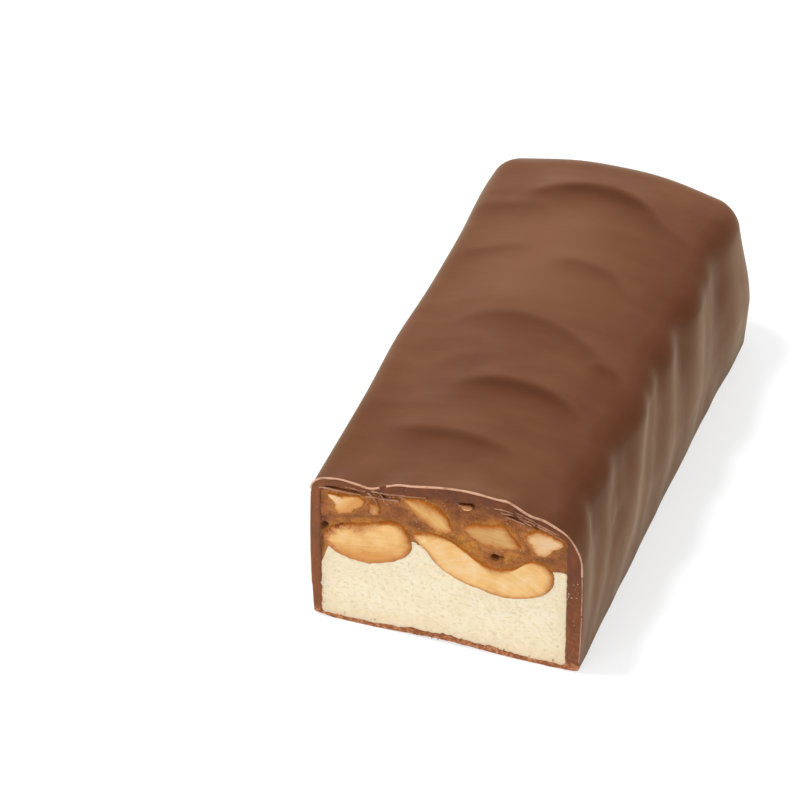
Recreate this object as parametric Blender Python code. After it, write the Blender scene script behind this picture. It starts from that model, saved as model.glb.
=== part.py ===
"""Cut piece of a chocolate-coated nougat bar with caramel and peanuts.

The cut face looks along -Y, the length runs along +Y and the flat underside lies on Z = 0.
The origin is under the middle of the piece. All sizes below are in millimetres, and
new_object scales them to metres. In the functions, x and z are places across the bar and
s is the distance behind the cut face.
"""

import math
from typing import NamedTuple

import bmesh
import bpy
import numpy as np

MM = 0.001

# Outer shape of the bar.
LENGTH = 65.6
HALF_WIDTH = 15.0
SHOULDER_HEIGHT = 19.0
CROWN_HEIGHT = 2.1
BASE_CORNER = 0.7
CUT_CORNER_LEFT = 1.7
CUT_CORNER_RIGHT = 4.4
END_CORNER_LEFT = 1.9
END_CORNER_RIGHT = 3.0

# How sharply the crown ends at its sides, and how fast its rise fades down towards the base.
CROWN_POWER = 3.0
TOP_SHARE_POWER = 4

# The crown is widest and central at the far end, and leans to the right at the cut.
CUT_CROWN_MIDDLE = 3.2
END_CROWN_MIDDLE = -0.5
CUT_CROWN_REACH_LEFT = 9.5
CUT_CROWN_REACH_RIGHT = 7.8
END_CROWN_REACH = 12.3

# The far end is a shallow dome, and its right side lies a little nearer the cut.
END_DOME = 0.5
END_SKEW = 0.7

# Share of the far end's rounding that a side takes at its foot, and what the shoulder adds.
END_ROUNDING_FOOT = 0.85
END_ROUNDING_SHOULDER = 0.3


class EndRounding(NamedTuple):
    """How far each side is drawn in where a run turns into its far end."""

    length: float
    left: float
    right: float
    top: float
    base: float


OUTER_END = EndRounding(4.0, 3.9, 4.6, 2.8, 0.6)
CAVITY_END = EndRounding(3.2, 3.2, 3.8, 2.4, 0.4)

# Coating thickness.
WALL_LEFT = 0.95
WALL_RIGHT = 1.5
ROOF_EDGE = 0.85
ROOF_MIDDLE = 0.65
ROOF_REACH = 7.0
FLOOR = 0.7
END_WALL = 1.8
CAVITY_CORNER_TOP = 1.3
CAVITY_CORNER_BASE = 0.5

# Clear space between touching pieces.
GAP = 0.25

# Boundary between the nougat below and the caramel above.
NOUGAT_TOP = 12.8
NOUGAT_DIP_LEFT = 2.8
NOUGAT_DIP_LEFT_START = -3.6
NOUGAT_DIP_RIGHT = 2.4
NOUGAT_DIP_RIGHT_MIDDLE = 5.0
NOUGAT_DIP_RIGHT_REACH = 2.8
NOUGAT_DIP_DEPTH = 7.0

# How far a pocket for a peanut reaches out of the cut face.
POCKET_FRONT = 1.0

# Mesh fineness: rings along the bar, and points along each side of a ring.
RINGS_LENGTH = 43
RINGS_END = 5
RINGS_DOME = 3
POINTS_TOP = 16
POINTS_SIDE = 6
POINTS_BASE = 6
POINTS_ARC = 4
POINTS_BASE_ARC = 2
RINGS_CAVITY = 9
RINGS_CAVITY_END = 3
RINGS_FILLING = 9
POINTS_FILLING = 16
POINTS_FILLING_SIDE = 4
POINTS_PEANUT = 20
RINGS_PEANUT = 5
RINGS_FILLING_CROWDING = 1.4
POINTS_FILLING_CROWDING = 0.1
SHARP_EDGE_DEGREES = 35.0

# Colours as linear values, and roughness.
CHOCOLATE_COLOUR = (0.16, 0.075, 0.042)
CHOCOLATE_ROUGHNESS = 0.45
NOUGAT_COLOUR = (0.87, 0.73, 0.52)
NOUGAT_ROUGHNESS = 0.9
CARAMEL_COLOUR = (0.32, 0.12, 0.035)
CARAMEL_ROUGHNESS = 0.3
PEANUT_ROUGHNESS = 0.5


class Ripple(NamedTuple):
    """A bowed wave left in the top by the flowing chocolate."""

    apex_x: float
    apex_s: float
    bow: float
    height: float
    middle_x: float
    half_span: float


RIPPLES = (
    Ripple(-1.5, 10.6, 0.040, 0.24, -1.5, 7.5),
    Ripple(2.0, 21.8, 0.030, 0.32, 0.0, 7.5),
    Ripple(-1.0, 32.9, 0.035, 0.26, -2.0, 9.0),
    Ripple(0.5, 44.6, 0.045, 0.22, 1.0, 7.0),
    Ripple(-4.0, 46.8, 0.055, 0.16, -8.5, 4.5),
    Ripple(-1.5, 59.2, 0.045, 0.36, -1.0, 10.0),
)
RIPPLE_NEAR_RUN = 2.4
RIPPLE_FAR_RUN = 5.5
RIPPLE_SOFTNESS = 0.5
RIPPLE_END_POWER = 4.0


class Drape(NamedTuple):
    """An upright wave in a side, leaning towards the cut at its foot."""

    middle_s: float
    lean: float
    height: float
    half_span: float


DRAPES_RIGHT = (
    Drape(7.0, 0.15, 0.12, 3.6),
    Drape(17.5, 0.50, 0.26, 3.8),
    Drape(30.5, 0.25, 0.24, 4.4),
    Drape(41.0, 0.30, 0.26, 4.0),
    Drape(54.0, 0.10, 0.22, 5.0),
)
DRAPES_LEFT = (
    Drape(9.5, 0.20, 0.12, 4.2),
    Drape(21.0, 0.35, 0.22, 4.6),
    Drape(33.0, 0.25, 0.14, 4.2),
    Drape(45.0, 0.30, 0.18, 4.4),
    Drape(56.0, 0.10, 0.30, 5.5),
)
DRAPE_MIDDLE_HEIGHT = 9.4
DRAPE_FOOT = 4.0
WALL_BULGE = 0.25
# How fast a wave or bulge of a side fades inwards from the wall.
WALL_POWER = 6


class Peanut(NamedTuple):
    """Half a peanut sliced by the cut: an oval that can bend, taper and narrow at its waist."""

    x: float
    z: float
    half_length: float
    half_thickness: float
    tilt: float
    squareness: float = 2.3
    taper: float = 0.0
    keystone: float = 0.0
    waist: float = 0.0
    bend: float = 0.0
    depth: float = 3.0
    colour: tuple = (0.80, 0.52, 0.26)


PEANUTS = {
    "peanut_long": Peanut(
        4.92, 13.53, 7.05, 2.14, -8.2, 2.6, 0.14, -0.31, 0.15, 3.52, 4.5, (0.80, 0.56, 0.30)
    ),
    "peanut_oval": Peanut(
        -8.85, 11.6, 4.95, 2.7, 12.0, 2.25, 0.05, 0.0, 0.0, 0.2, 4.5, (0.75, 0.42, 0.15)
    ),
    "peanut_piece_left": Peanut(
        -10.55, 16.45, 2.3, 1.25, 15.0, 3.1, -0.45, 0.07, 0.0, 0.36, 2.5, (0.80, 0.50, 0.22)
    ),
    "peanut_piece_middle": Peanut(
        -1.62, 17.12, 2.95, 1.42, -38.0, 2.3, 0.05, 0.0, 0.0, 0.0, 3.0, (0.72, 0.42, 0.15)
    ),
    "peanut_piece_right": Peanut(
        5.3, 16.45, 2.5, 1.32, -1.6, 3.2, 0.41, -0.42, 0.0, 0.44, 3.0, (0.65, 0.38, 0.12)
    ),
    "peanut_piece_corner": Peanut(
        11.0, 16.6, 1.85, 1.25, 8.0, 2.1, -0.18, 0.22, -0.16, 0.15, 2.5, (0.82, 0.60, 0.36)
    ),
}


def along(at_cut, at_end, s):
    """A size that eases from its value at the cut to its value at the far end."""
    t = np.clip(s / LENGTH, 0.0, 1.0)
    return at_cut + (at_end - at_cut) * t * t * (3.0 - 2.0 * t)


def bump(offset, reach, power=2.0):
    """A smooth hump that is 1 in the middle and dies away past its reach."""
    return np.exp(-np.abs(offset / reach) ** power)


def crown(x, s):
    """Rise of the top above the shoulders."""
    offset = x - along(CUT_CROWN_MIDDLE, END_CROWN_MIDDLE, s)
    left = along(CUT_CROWN_REACH_LEFT, END_CROWN_REACH, s)
    right = along(CUT_CROWN_REACH_RIGHT, END_CROWN_REACH, s)
    return CROWN_HEIGHT * bump(offset, np.where(offset < 0.0, left, right), CROWN_POWER)


def ripples(x, s):
    """Height of the waves in the top: a rise towards each crest, then a slow fall behind it."""
    height = 0.0
    for wave in RIPPLES:
        behind = s - (wave.apex_s - wave.bow * (x - wave.apex_x) ** 2)
        run = np.where(behind < 0.0, RIPPLE_NEAR_RUN, RIPPLE_FAR_RUN)
        away = np.sqrt(behind**2 + RIPPLE_SOFTNESS**2) - RIPPLE_SOFTNESS
        span = bump(x - wave.middle_x, wave.half_span, RIPPLE_END_POWER)
        height += wave.height * np.exp(-away / run) * span
    return height


def drapes(waves, z, s):
    """Outward push of the waves in one side."""
    push = 0.0
    for wave in waves:
        middle = wave.middle_s + wave.lean * (z - DRAPE_MIDDLE_HEIGHT)
        push += wave.height * bump(s - middle, wave.half_span)
    return push


def rounded_section(left, right, floor, top, corners, points):
    """Points round a box with rounded corners, from its bottom left corner by the right side."""
    base, side, roof, base_arc, arc = points
    bottom_left, bottom_right, top_right, top_left = corners
    places = (
        (left + bottom_left, floor + bottom_left, bottom_left, 180.0, base_arc, base),
        (right - bottom_right, floor + bottom_right, bottom_right, 270.0, base_arc, side),
        (right - top_right, top - top_right, top_right, 0.0, arc, roof),
        (left + top_left, top - top_left, top_left, 90.0, arc, side),
    )
    outline = []
    for index, (x, z, radius, start, arc_steps, straight_steps) in enumerate(places):
        for step in range(arc_steps + 1):
            angle = math.radians(start + 90.0 * step / arc_steps)
            outline.append((x + radius * math.cos(angle), z + radius * math.sin(angle)))
        x_next, z_next, radius_next, start_next = places[(index + 1) % 4][:4]
        angle = math.radians(start_next)
        end = (x_next + radius_next * math.cos(angle), z_next + radius_next * math.sin(angle))
        begin = outline[-1]
        for step in range(1, straight_steps):
            part = step / straight_steps
            outline.append(
                (begin[0] + (end[0] - begin[0]) * part, begin[1] + (end[1] - begin[1]) * part)
            )
    return np.array(outline)


def outer_section(s):
    """Outline of the coating's outside at one distance behind the cut."""
    corners = (
        BASE_CORNER,
        BASE_CORNER,
        float(along(CUT_CORNER_RIGHT, END_CORNER_RIGHT, s)),
        float(along(CUT_CORNER_LEFT, END_CORNER_LEFT, s)),
    )
    points = (POINTS_BASE, POINTS_SIDE, POINTS_TOP, POINTS_BASE_ARC, POINTS_ARC)
    outline = rounded_section(-HALF_WIDTH, HALF_WIDTH, 0.0, SHOULDER_HEIGHT, corners, points)
    x, z = outline[:, 0], outline[:, 1]
    rise = np.clip(z / SHOULDER_HEIGHT, 0.0, 1.0)
    bulge = WALL_BULGE * np.sin(math.pi * rise)
    waves = np.where(x > 0.0, drapes(DRAPES_RIGHT, z, s), drapes(DRAPES_LEFT, z, s))
    side = np.clip(np.abs(x) / HALF_WIDTH, 0.0, 1.0) ** WALL_POWER
    push = np.sign(x) * (bulge + waves * (1.0 - bump(z, DRAPE_FOOT))) * side
    lift = (crown(x, s) + ripples(x, s)) * rise**TOP_SHARE_POWER
    return np.column_stack([x + push, z + lift])


def roof_thickness(x):
    return ROOF_EDGE + ROOF_MIDDLE * bump(x - CUT_CROWN_MIDDLE, ROOF_REACH)


def cavity_top(x, s):
    """Underside of the coating's roof."""
    return SHOULDER_HEIGHT + crown(x, s) - roof_thickness(x)


def cavity_section(s):
    """Outline of the space inside the coating."""
    corners = (CAVITY_CORNER_BASE, CAVITY_CORNER_BASE, CAVITY_CORNER_TOP, CAVITY_CORNER_TOP)
    points = (POINTS_BASE, POINTS_SIDE, POINTS_TOP, POINTS_BASE_ARC, POINTS_ARC)
    left = -HALF_WIDTH + WALL_LEFT
    right = HALF_WIDTH - WALL_RIGHT
    top = SHOULDER_HEIGHT - ROOF_EDGE
    outline = rounded_section(left, right, FLOOR, top, corners, points)
    x, z = outline[:, 0], outline[:, 1]
    rise = np.clip(z / top, 0.0, 1.0) ** TOP_SHARE_POWER
    return np.column_stack([x, z + (cavity_top(x, s) - top) * rise])


def placed(outline, s):
    """Points of an outline at one distance behind the cut, or at one distance for each point."""
    return np.column_stack([outline[:, 0], s - LENGTH / 2.0 + 0.0 * outline[:, 0], outline[:, 1]])


def run_rings(section, far, end, straight_rings, end_rings, crowding=1.0):
    """Rings of a section that runs back from the cut and is rounded off at its far end."""
    start = far - end.length
    spacing = np.linspace(0.0, 1.0, straight_rings) ** crowding
    rings = [placed(section(s), s) for s in start * spacing]
    for step in range(1, end_rings + 1):
        angle = 0.5 * math.pi * step / end_rings
        drawn_in = 1.0 - math.cos(angle)
        s = start + end.length * math.sin(angle)
        x, z = section(s).T
        rise = z / SHOULDER_HEIGHT
        share = END_ROUNDING_FOOT + END_ROUNDING_SHOULDER * rise**3
        side = np.where(x < 0.0, end.left, end.right) * share
        skew = END_SKEW * step / end_rings * (0.5 + 0.5 * x / HALF_WIDTH)
        x = x * (1.0 - side * drawn_in / HALF_WIDTH)
        z = z + (end.base * (1.0 - rise) - end.top * rise) * drawn_in
        rings.append(placed(np.column_stack([x, z]), s - skew))
    return rings


def coating_rings():
    """Rings of the coating, from the far wall of its cavity out to the cut and back outside."""
    inside = run_rings(cavity_section, LENGTH - END_WALL, CAVITY_END, RINGS_CAVITY, RINGS_CAVITY_END)
    outside = run_rings(outer_section, LENGTH - END_DOME, OUTER_END, RINGS_LENGTH, RINGS_END)
    rim = outside[-1]
    middle = np.array([0.0, rim[:, 1].max(), SHOULDER_HEIGHT / 2.0])
    dome = LENGTH / 2.0 - middle[1]
    for step in range(1, RINGS_DOME + 1):
        size = 1.0 - step / (RINGS_DOME + 1.0)
        ring = middle + (rim - middle) * size
        ring[:, 1] += dome * (1.0 - size**2)
        outside.append(ring)
    tip = middle + np.array([0.0, dome, 0.0])
    return inside[::-1] + outside, tip


def boundary(x, s):
    """Height where nougat meets caramel: it dips where a peanut is bedded in it."""
    fade = bump(s, NOUGAT_DIP_DEPTH)
    slope = np.clip((NOUGAT_DIP_LEFT_START - x) / (HALF_WIDTH + NOUGAT_DIP_LEFT_START), 0.0, 1.0)
    dip = NOUGAT_DIP_LEFT * slope
    dip = dip + NOUGAT_DIP_RIGHT * bump(x - NOUGAT_DIP_RIGHT_MIDDLE, NOUGAT_DIP_RIGHT_REACH)
    return NOUGAT_TOP - dip * fade


def filling_section(s, low, high):
    """Outline of one layer of the filling between a lower and an upper height."""
    left = -HALF_WIDTH + WALL_LEFT + GAP
    right = HALF_WIDTH - WALL_RIGHT - GAP
    part = np.linspace(0.0, 1.0, POINTS_FILLING + 1)
    x = left + (right - left) * (part - POINTS_FILLING_CROWDING * np.sin(2.0 * math.pi * part))
    bottom = np.column_stack([x, low(x, s)])
    top = np.column_stack([x, high(x, s)])[::-1]
    parts = np.linspace(0.0, 1.0, POINTS_FILLING_SIDE + 1)[1:-1, None]
    up_right = bottom[-1] + (top[0] - bottom[-1]) * parts
    down_left = top[-1] + (bottom[0] - top[-1]) * parts
    return np.concatenate([bottom, up_right, top, down_left])


def eased_edge(x, reach):
    """How far an edge of a filling is rounded off beside each wall."""
    left = -HALF_WIDTH + WALL_LEFT + GAP
    right = HALF_WIDTH - WALL_RIGHT - GAP
    wall = np.minimum(x - left, right - x)
    near = np.clip(1.0 - wall / reach, 0.0, 1.0)
    return reach * (1.0 - np.sqrt(1.0 - near**2))


def nougat_low(x, s):
    return FLOOR + GAP + eased_edge(x, CAVITY_CORNER_BASE)


def nougat_high(x, s):
    return boundary(x, s) - GAP / 2.0


def caramel_low(x, s):
    return boundary(x, s) + GAP / 2.0


def caramel_high(x, s):
    return cavity_top(x, s) - GAP - eased_edge(x, CAVITY_CORNER_TOP)


def filling_rings(low, high):
    return run_rings(
        lambda s: filling_section(s, low, high),
        LENGTH - END_WALL - GAP,
        CAVITY_END,
        RINGS_FILLING,
        RINGS_CAVITY_END,
        RINGS_FILLING_CROWDING,
    )


def peanut_outline(nut, size, grow):
    """Outline of a peanut in the cut face, shrunk by size and then grown outwards."""
    angle = np.linspace(0.0, 2.0 * math.pi, POINTS_PEANUT, endpoint=False)
    round_power = 2.0 / nut.squareness
    u = np.sign(np.cos(angle)) * np.abs(np.cos(angle)) ** round_power
    v = np.sign(np.sin(angle)) * np.abs(np.sin(angle)) ** round_power
    half_length = nut.half_length * size + grow
    half_thickness = nut.half_thickness * size + grow
    length = half_length * u * (1.0 + nut.keystone * v)
    thickness = half_thickness * v * (1.0 + nut.taper * u - nut.waist * (1.0 - u**2))
    place = u * half_length / nut.half_length
    thickness = thickness + nut.bend * (place**2 - 1.0)
    tilt = math.radians(nut.tilt)
    x = nut.x + length * math.cos(tilt) - thickness * math.sin(tilt)
    z = nut.z + length * math.sin(tilt) + thickness * math.cos(tilt)
    return np.column_stack([x, z])


def peanut_rings(nut, grow, front):
    """Rings of a half peanut from its cut face back to its rounded end."""
    rings = []
    if front > 0.0:
        rings.append(placed(peanut_outline(nut, 1.0, grow), -front))
    for step in range(RINGS_PEANUT):
        angle = 0.5 * math.pi * step / RINGS_PEANUT
        outline = peanut_outline(nut, math.cos(angle), grow * math.cos(angle))
        rings.append(placed(outline, (nut.depth + grow) * math.sin(angle)))
    tip = rings[-1].mean(axis=0)
    tip[1] = nut.depth + grow - LENGTH / 2.0
    return rings, tip


def loft(rings, tip=None):
    """Closed mesh through rings of equal count, with a flat face at the start."""
    count = len(rings[0])
    verts = [tuple(point) for ring in rings for point in ring]
    faces = [tuple(range(count))[::-1]]
    for first in range(0, (len(rings) - 1) * count, count):
        for k in range(count):
            after = (k + 1) % count
            faces.append((first + k, first + after, first + count + after, first + count + k))
    last = (len(rings) - 1) * count
    if tip is None:
        faces.append(tuple(range(last, last + count)))
    else:
        verts.append(tuple(tip))
        faces.extend((last + k, last + (k + 1) % count, len(verts) - 1) for k in range(count))
    return verts, faces


def new_material(name, colour, roughness):
    material = bpy.data.materials.new(name)
    material.use_nodes = True
    surface = material.node_tree.nodes["Principled BSDF"]
    surface.inputs["Base Color"].default_value = (*colour, 1.0)
    surface.inputs["Roughness"].default_value = roughness
    surface.inputs["Metallic"].default_value = 0.0
    material.diffuse_color = (*colour, 1.0)
    return material


def new_object(name, shape, material):
    """Object from points in millimetres, with its faces turned outwards."""
    verts, faces = shape
    mesh = bpy.data.meshes.new(name)
    mesh.from_pydata([[value * MM for value in point] for point in verts], [], faces)
    work = bmesh.new()
    work.from_mesh(mesh)
    bmesh.ops.recalc_face_normals(work, faces=work.faces)
    work.to_mesh(mesh)
    work.free()
    mesh.shade_smooth()
    mesh.set_sharp_from_angle(angle=math.radians(SHARP_EDGE_DEGREES))
    if material is not None:
        mesh.materials.append(material)
    obj = bpy.data.objects.new(name, mesh)
    bpy.context.scene.collection.objects.link(obj)
    return obj


def make_coating():
    rings, tip = coating_rings()
    return new_object(
        "chocolate_coating",
        loft(rings, tip),
        new_material("milk_chocolate", CHOCOLATE_COLOUR, CHOCOLATE_ROUGHNESS),
    )


def make_nougat():
    return new_object(
        "nougat",
        loft(filling_rings(nougat_low, nougat_high)),
        new_material("nougat", NOUGAT_COLOUR, NOUGAT_ROUGHNESS),
    )


def make_caramel():
    return new_object(
        "caramel",
        loft(filling_rings(caramel_low, caramel_high)),
        new_material("caramel", CARAMEL_COLOUR, CARAMEL_ROUGHNESS),
    )


def make_peanuts(bedded_in):
    """Each peanut, with a pocket for it in every layer that it is bedded in."""
    for name, nut in PEANUTS.items():
        rings, tip = peanut_rings(nut, 0.0, 0.0)
        new_object(name, loft(rings, tip), new_material(name, nut.colour, PEANUT_ROUGHNESS))
        rings, tip = peanut_rings(nut, GAP, POCKET_FRONT)
        cutter = new_object(name + "_pocket", loft(rings, tip), None)
        cutter.hide_render = True
        cutter.display_type = "WIRE"
        for layer in bedded_in:
            cut = layer.modifiers.new(name + "_pocket", "BOOLEAN")
            cut.operation = "DIFFERENCE"
            cut.solver = "EXACT"
            cut.object = cutter


def main():
    for obj in list(bpy.data.objects):
        bpy.data.objects.remove(obj, do_unlink=True)
    make_coating()
    nougat = make_nougat()
    caramel = make_caramel()
    make_peanuts((nougat, caramel))


main()
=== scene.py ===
"""Looks of a cut chocolate-coated nougat bar with caramel and peanuts.

The file is laid out as a Blender add-on. Each operator makes one piece, or one group of like
pieces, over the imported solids. The cut face looks along -Y, the length runs along +Y and the
flat underside lies on Z = 0. Sizes in the functions are in millimetres, x and z are places
across the bar, and s is the distance behind the cut face.
"""

import math
from typing import NamedTuple

import bmesh
import bpy
import numpy as np
from bpy.props import FloatProperty, FloatVectorProperty, IntProperty, PointerProperty
from mathutils import Matrix, Vector, noise


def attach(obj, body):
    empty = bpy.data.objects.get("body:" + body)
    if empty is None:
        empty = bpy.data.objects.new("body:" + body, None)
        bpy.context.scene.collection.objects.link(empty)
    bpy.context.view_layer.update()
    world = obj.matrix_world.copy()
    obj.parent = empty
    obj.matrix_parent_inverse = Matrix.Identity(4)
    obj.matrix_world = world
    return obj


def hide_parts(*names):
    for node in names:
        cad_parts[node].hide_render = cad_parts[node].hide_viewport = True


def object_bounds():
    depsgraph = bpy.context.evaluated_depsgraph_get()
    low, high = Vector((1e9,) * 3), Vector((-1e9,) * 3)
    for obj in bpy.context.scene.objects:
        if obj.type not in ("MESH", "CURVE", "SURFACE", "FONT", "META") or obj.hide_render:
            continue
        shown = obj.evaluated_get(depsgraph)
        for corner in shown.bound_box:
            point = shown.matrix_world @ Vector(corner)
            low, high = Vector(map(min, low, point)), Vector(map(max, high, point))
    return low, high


bl_info = {
    "name": "Cut nougat bar",
    "version": (1, 0, 0),
    "blender": (4, 5, 0),
    "location": "3D View > Sidebar > Nougat bar",
    "description": "Makes the coating, fillings, peanuts and crumbs of a cut nougat bar",
    "category": "Add Mesh",
}

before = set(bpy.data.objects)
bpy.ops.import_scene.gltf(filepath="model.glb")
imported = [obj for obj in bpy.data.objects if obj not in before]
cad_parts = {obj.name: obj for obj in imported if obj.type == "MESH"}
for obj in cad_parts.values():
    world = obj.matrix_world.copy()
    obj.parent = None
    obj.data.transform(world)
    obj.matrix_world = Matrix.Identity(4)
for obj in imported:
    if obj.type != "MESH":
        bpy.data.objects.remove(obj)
CAD_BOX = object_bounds()

MM = 0.001
BODY = "root"


class Hump(NamedTuple):
    """A smooth rise, or a dip where its height is negative."""

    middle: float
    reach: float
    height: float
    power: float = 2.0


class Grain(NamedTuple):
    """Fractal unevenness of one height, with features of one size in millimetres."""

    height: float
    size: float
    octaves: int
    shift: float = 0.0


# Outer shape of the bar, as in the solids.
LENGTH = (CAD_BOX[1].y - CAD_BOX[0].y) / MM
CUT = -LENGTH / 2.0
HALF_WIDTH = 15.0
SHOULDER_HEIGHT = 19.0
CROWN_HEIGHT = 2.1
BASE_CORNER = 0.7
CUT_BASE_CORNER = 0.25
CUT_CORNER_LEFT = 1.7
CUT_CORNER_RIGHT = 4.4
END_CORNER_LEFT = 1.9
CUT_CROWN_MIDDLE = 3.2
END_CROWN_MIDDLE = -0.5
CUT_CROWN_REACH_LEFT = 9.5
CUT_CROWN_REACH_RIGHT = 7.8
END_CROWN_REACH = 12.3
WALL_BULGE = 0.25
WALL_FADE = 1.7
# The foot of each wall waves a little, and the right one flares out near the far end.
FOOT_HEIGHT = 4.0
FOOT_WAVE = Grain(0.12, 7.0, 2)
FOOT_WAVE_START = 3.0
FOOT_WAVE_LEFT_AND_RIGHT = (0.0, 40.0)
FOOT_FLARE_ALONG = (Hump(60.0, 7.0, 0.35, 4.0),)
FOOT_FLARE_UP = (Hump(5.0, 8.0, 1.0, 4.0),)
# Behind the cut the right wall leans in and meets the top in a tighter corner.
SHOULDER_CORNER = 1.9
SHOULDER_LEAN = 1.3
SHOULDER_LEAN_START = 7.0
SHOULDER_LEAN_CURVE = 1.3
SHOULDER_SETTLES = 5.0
END_LEAN = (Hump(LENGTH, 9.0, 1.0),)
# The far end is drawn in more towards the shoulders, domed, skewed and uneven.
END_DOME = 0.5
END_SKEW = 0.7
END_DRAW_FOOT = 0.42
END_DRAW_RISE = 0.62
END_DRAW_SHOULDER = 0.45
END_WAVE_LOSS = 0.6
END_GRAIN = Grain(0.30, 8.0, 3)
END_SINK = 0.18

# Coating thickness.
WALL_LEFT = 0.95
WALL_RIGHT = 1.5
ROOF_EDGE = 0.85
ROOF_MIDDLE = 0.65
ROOF_REACH = 7.0
END_WALL = 1.8
RIGHT_INSET = 0.9
CAVITY_CORNER_TOP = 1.3
CAVITY_CORNER_BASE = 0.4
CAVITY_GRAIN = Grain(0.07, 0.8, 3)

# Boundary between the nougat below and the caramel above.
NOUGAT_TOP = 12.8
NOUGAT_DIP_LEFT = 2.8
NOUGAT_DIP_LEFT_START = -3.6
NOUGAT_DIP_DEPTH = 7.0
NOUGAT_DIPS = (Hump(-14.3, 0.9, 3.1), Hump(13.2, 1.0, -0.35), Hump(5.0, 2.8, 2.4))
NOUGAT_WOBBLE = Grain(0.12, 1.6, 2, 5.0)

# The cut edge of the coating as the knife left it: lifts and dents of the rim and of the base.
CUT_EDGE_DENTS = (
    Hump(-11.8, 1.5, 0.30),
    Hump(-8.3, 1.1, -0.36),
    Hump(-5.2, 1.2, 0.22),
    Hump(2.6, 3.6, 0.30),
    Hump(6.9, 1.0, 0.22),
    Hump(9.4, 1.1, -0.28),
    Hump(13.6, 1.0, 0.35),
)
CUT_DENT_DEPTH = 1.6
BASE_DENTS = (Hump(0.0, 5.5, 0.32), Hump(-15.0, 1.6, 0.35), Hump(15.0, 2.0, 0.2))
BASE_DENT_DEPTH = 3.0
TORN_BASE = Grain(0.10, 0.7, 3, 9.0)
TORN_BASE_DEPTH = 0.8

# The cut face of the coating: rounded edges, torn grain, and thin layers in parts of its roof.
CUT_ROUNDING = 0.10
CUT_GRAIN = Grain(0.045, 0.5, 3)
ROOF_LAYERS = 4.0
ROOF_LAYER_RELIEF = 0.07
ROOF_LAYER_WAVER = Grain(0.4, 2.5, 2)
LAYERED_ROOF = (Hump(8.6, 2.2, 1.0), Hump(-6.8, 1.5, 0.6))
# From here rightwards the knife left the coating darker.
DARK_CUT_START = -12.0
DARK_CUT_EASE = 0.8
# Below here the right wall is torn and redder, and less so towards its top.
TORN_WALL_TOP = 12.9
TORN_WALL_EASE = 0.15
TORN_WALL_SHARE = 0.28
TORN_WALL_LOSS = 0.015

# The film of coating under the nougat, and the underside of the roof where the knife bent it.
FILM = 0.62
FILM_HUMPS = (Hump(0.0, 5.5, 0.55), Hump(5.6, 1.0, 0.15), Hump(-10.5, 2.0, -0.10))
FILM_GRAIN = Grain(0.15, 1.1, 3)
FILM_GRAIN_ROW = 3.0
FILM_REACH = 1.2
ROOF_SAG = (Hump(-4.5, 1.6, 0.22), Hump(4.2, 2.4, -0.38), Hump(9.0, 1.4, 0.30))
ROOF_SAG_DEPTH = 3.0

# The fillings reach this far under the coating, so that no gap shows.
TUCK = 0.12
# Rings of a filling's plain body: how far behind the cut, and how wide there.
FILLING_RINGS = ((1.0, 1.0), (6.0, 1.0), (20.0, 1.0), (40.0, 1.0), (56.0, 0.98), (LENGTH - END_WALL, 0.82))


class EndRounding(NamedTuple):
    """How far each side is drawn in where a run turns into its far end."""

    length: float
    left: float
    right: float
    top: float
    base: float


OUTER_END = EndRounding(4.0, 3.9, 4.6, 2.8, 0.6)
CAVITY_END = EndRounding(3.2, 3.2, 3.8, 2.4, 0.4)


class Wave(NamedTuple):
    """A wave in the coating. Its crest is a line across the top, or up one side.

    The crest lies at `crest` behind the cut where the line passes `apex`, slopes by `lean` and
    bows by `bow` away from there, and dies out past `half_span` from `middle`.
    """

    crest: float
    lean: float
    bow: float
    apex: float
    middle: float
    half_span: float
    height: float
    near_run: float
    far_run: float
    softness: float = 0.5
    power: float = 1.0
    side: float = 0.0


# The two sides of the bar, and what their folds share.
RIGHT, LEFT = 1.0, -1.0
WALL_MIDDLE = 9.4
WALL_REACH = 99.0
LOW_FOLD_HEIGHT = 6.5
LOW_LEAN = 0.4
SIDE_FORM = (0.05, 2.0)
RIPPLE_SOFTNESS = 0.8


def ripple(apex_x, apex_s, bow, height, middle_x, half_span, near_run=2.0, far_run=8.0, lean=0.0):
    return Wave(apex_s, lean, bow, apex_x, middle_x, half_span, height, near_run, far_run, RIPPLE_SOFTNESS)


def drape(side, crest, lean, height, near_run, far_run):
    """A fold down the whole side."""
    line = (crest, lean, 0.0, WALL_MIDDLE, WALL_MIDDLE, WALL_REACH)
    return Wave(*line, height, near_run, far_run, *SIDE_FORM, side)


def dimple(side, s, z, reach, height, run=None):
    """A dent in the side, or a swelling where its height is positive."""
    return Wave(s, LOW_LEAN, 0.0, z, z, reach, height, run or reach, run or reach, *SIDE_FORM, side)


def low_fold(side, crest, height, run):
    """A fold that stays below the shoulder, so that the outline above it stays straight."""
    return dimple(side, crest, LOW_FOLD_HEIGHT, LOW_FOLD_HEIGHT, height, run)


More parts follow.
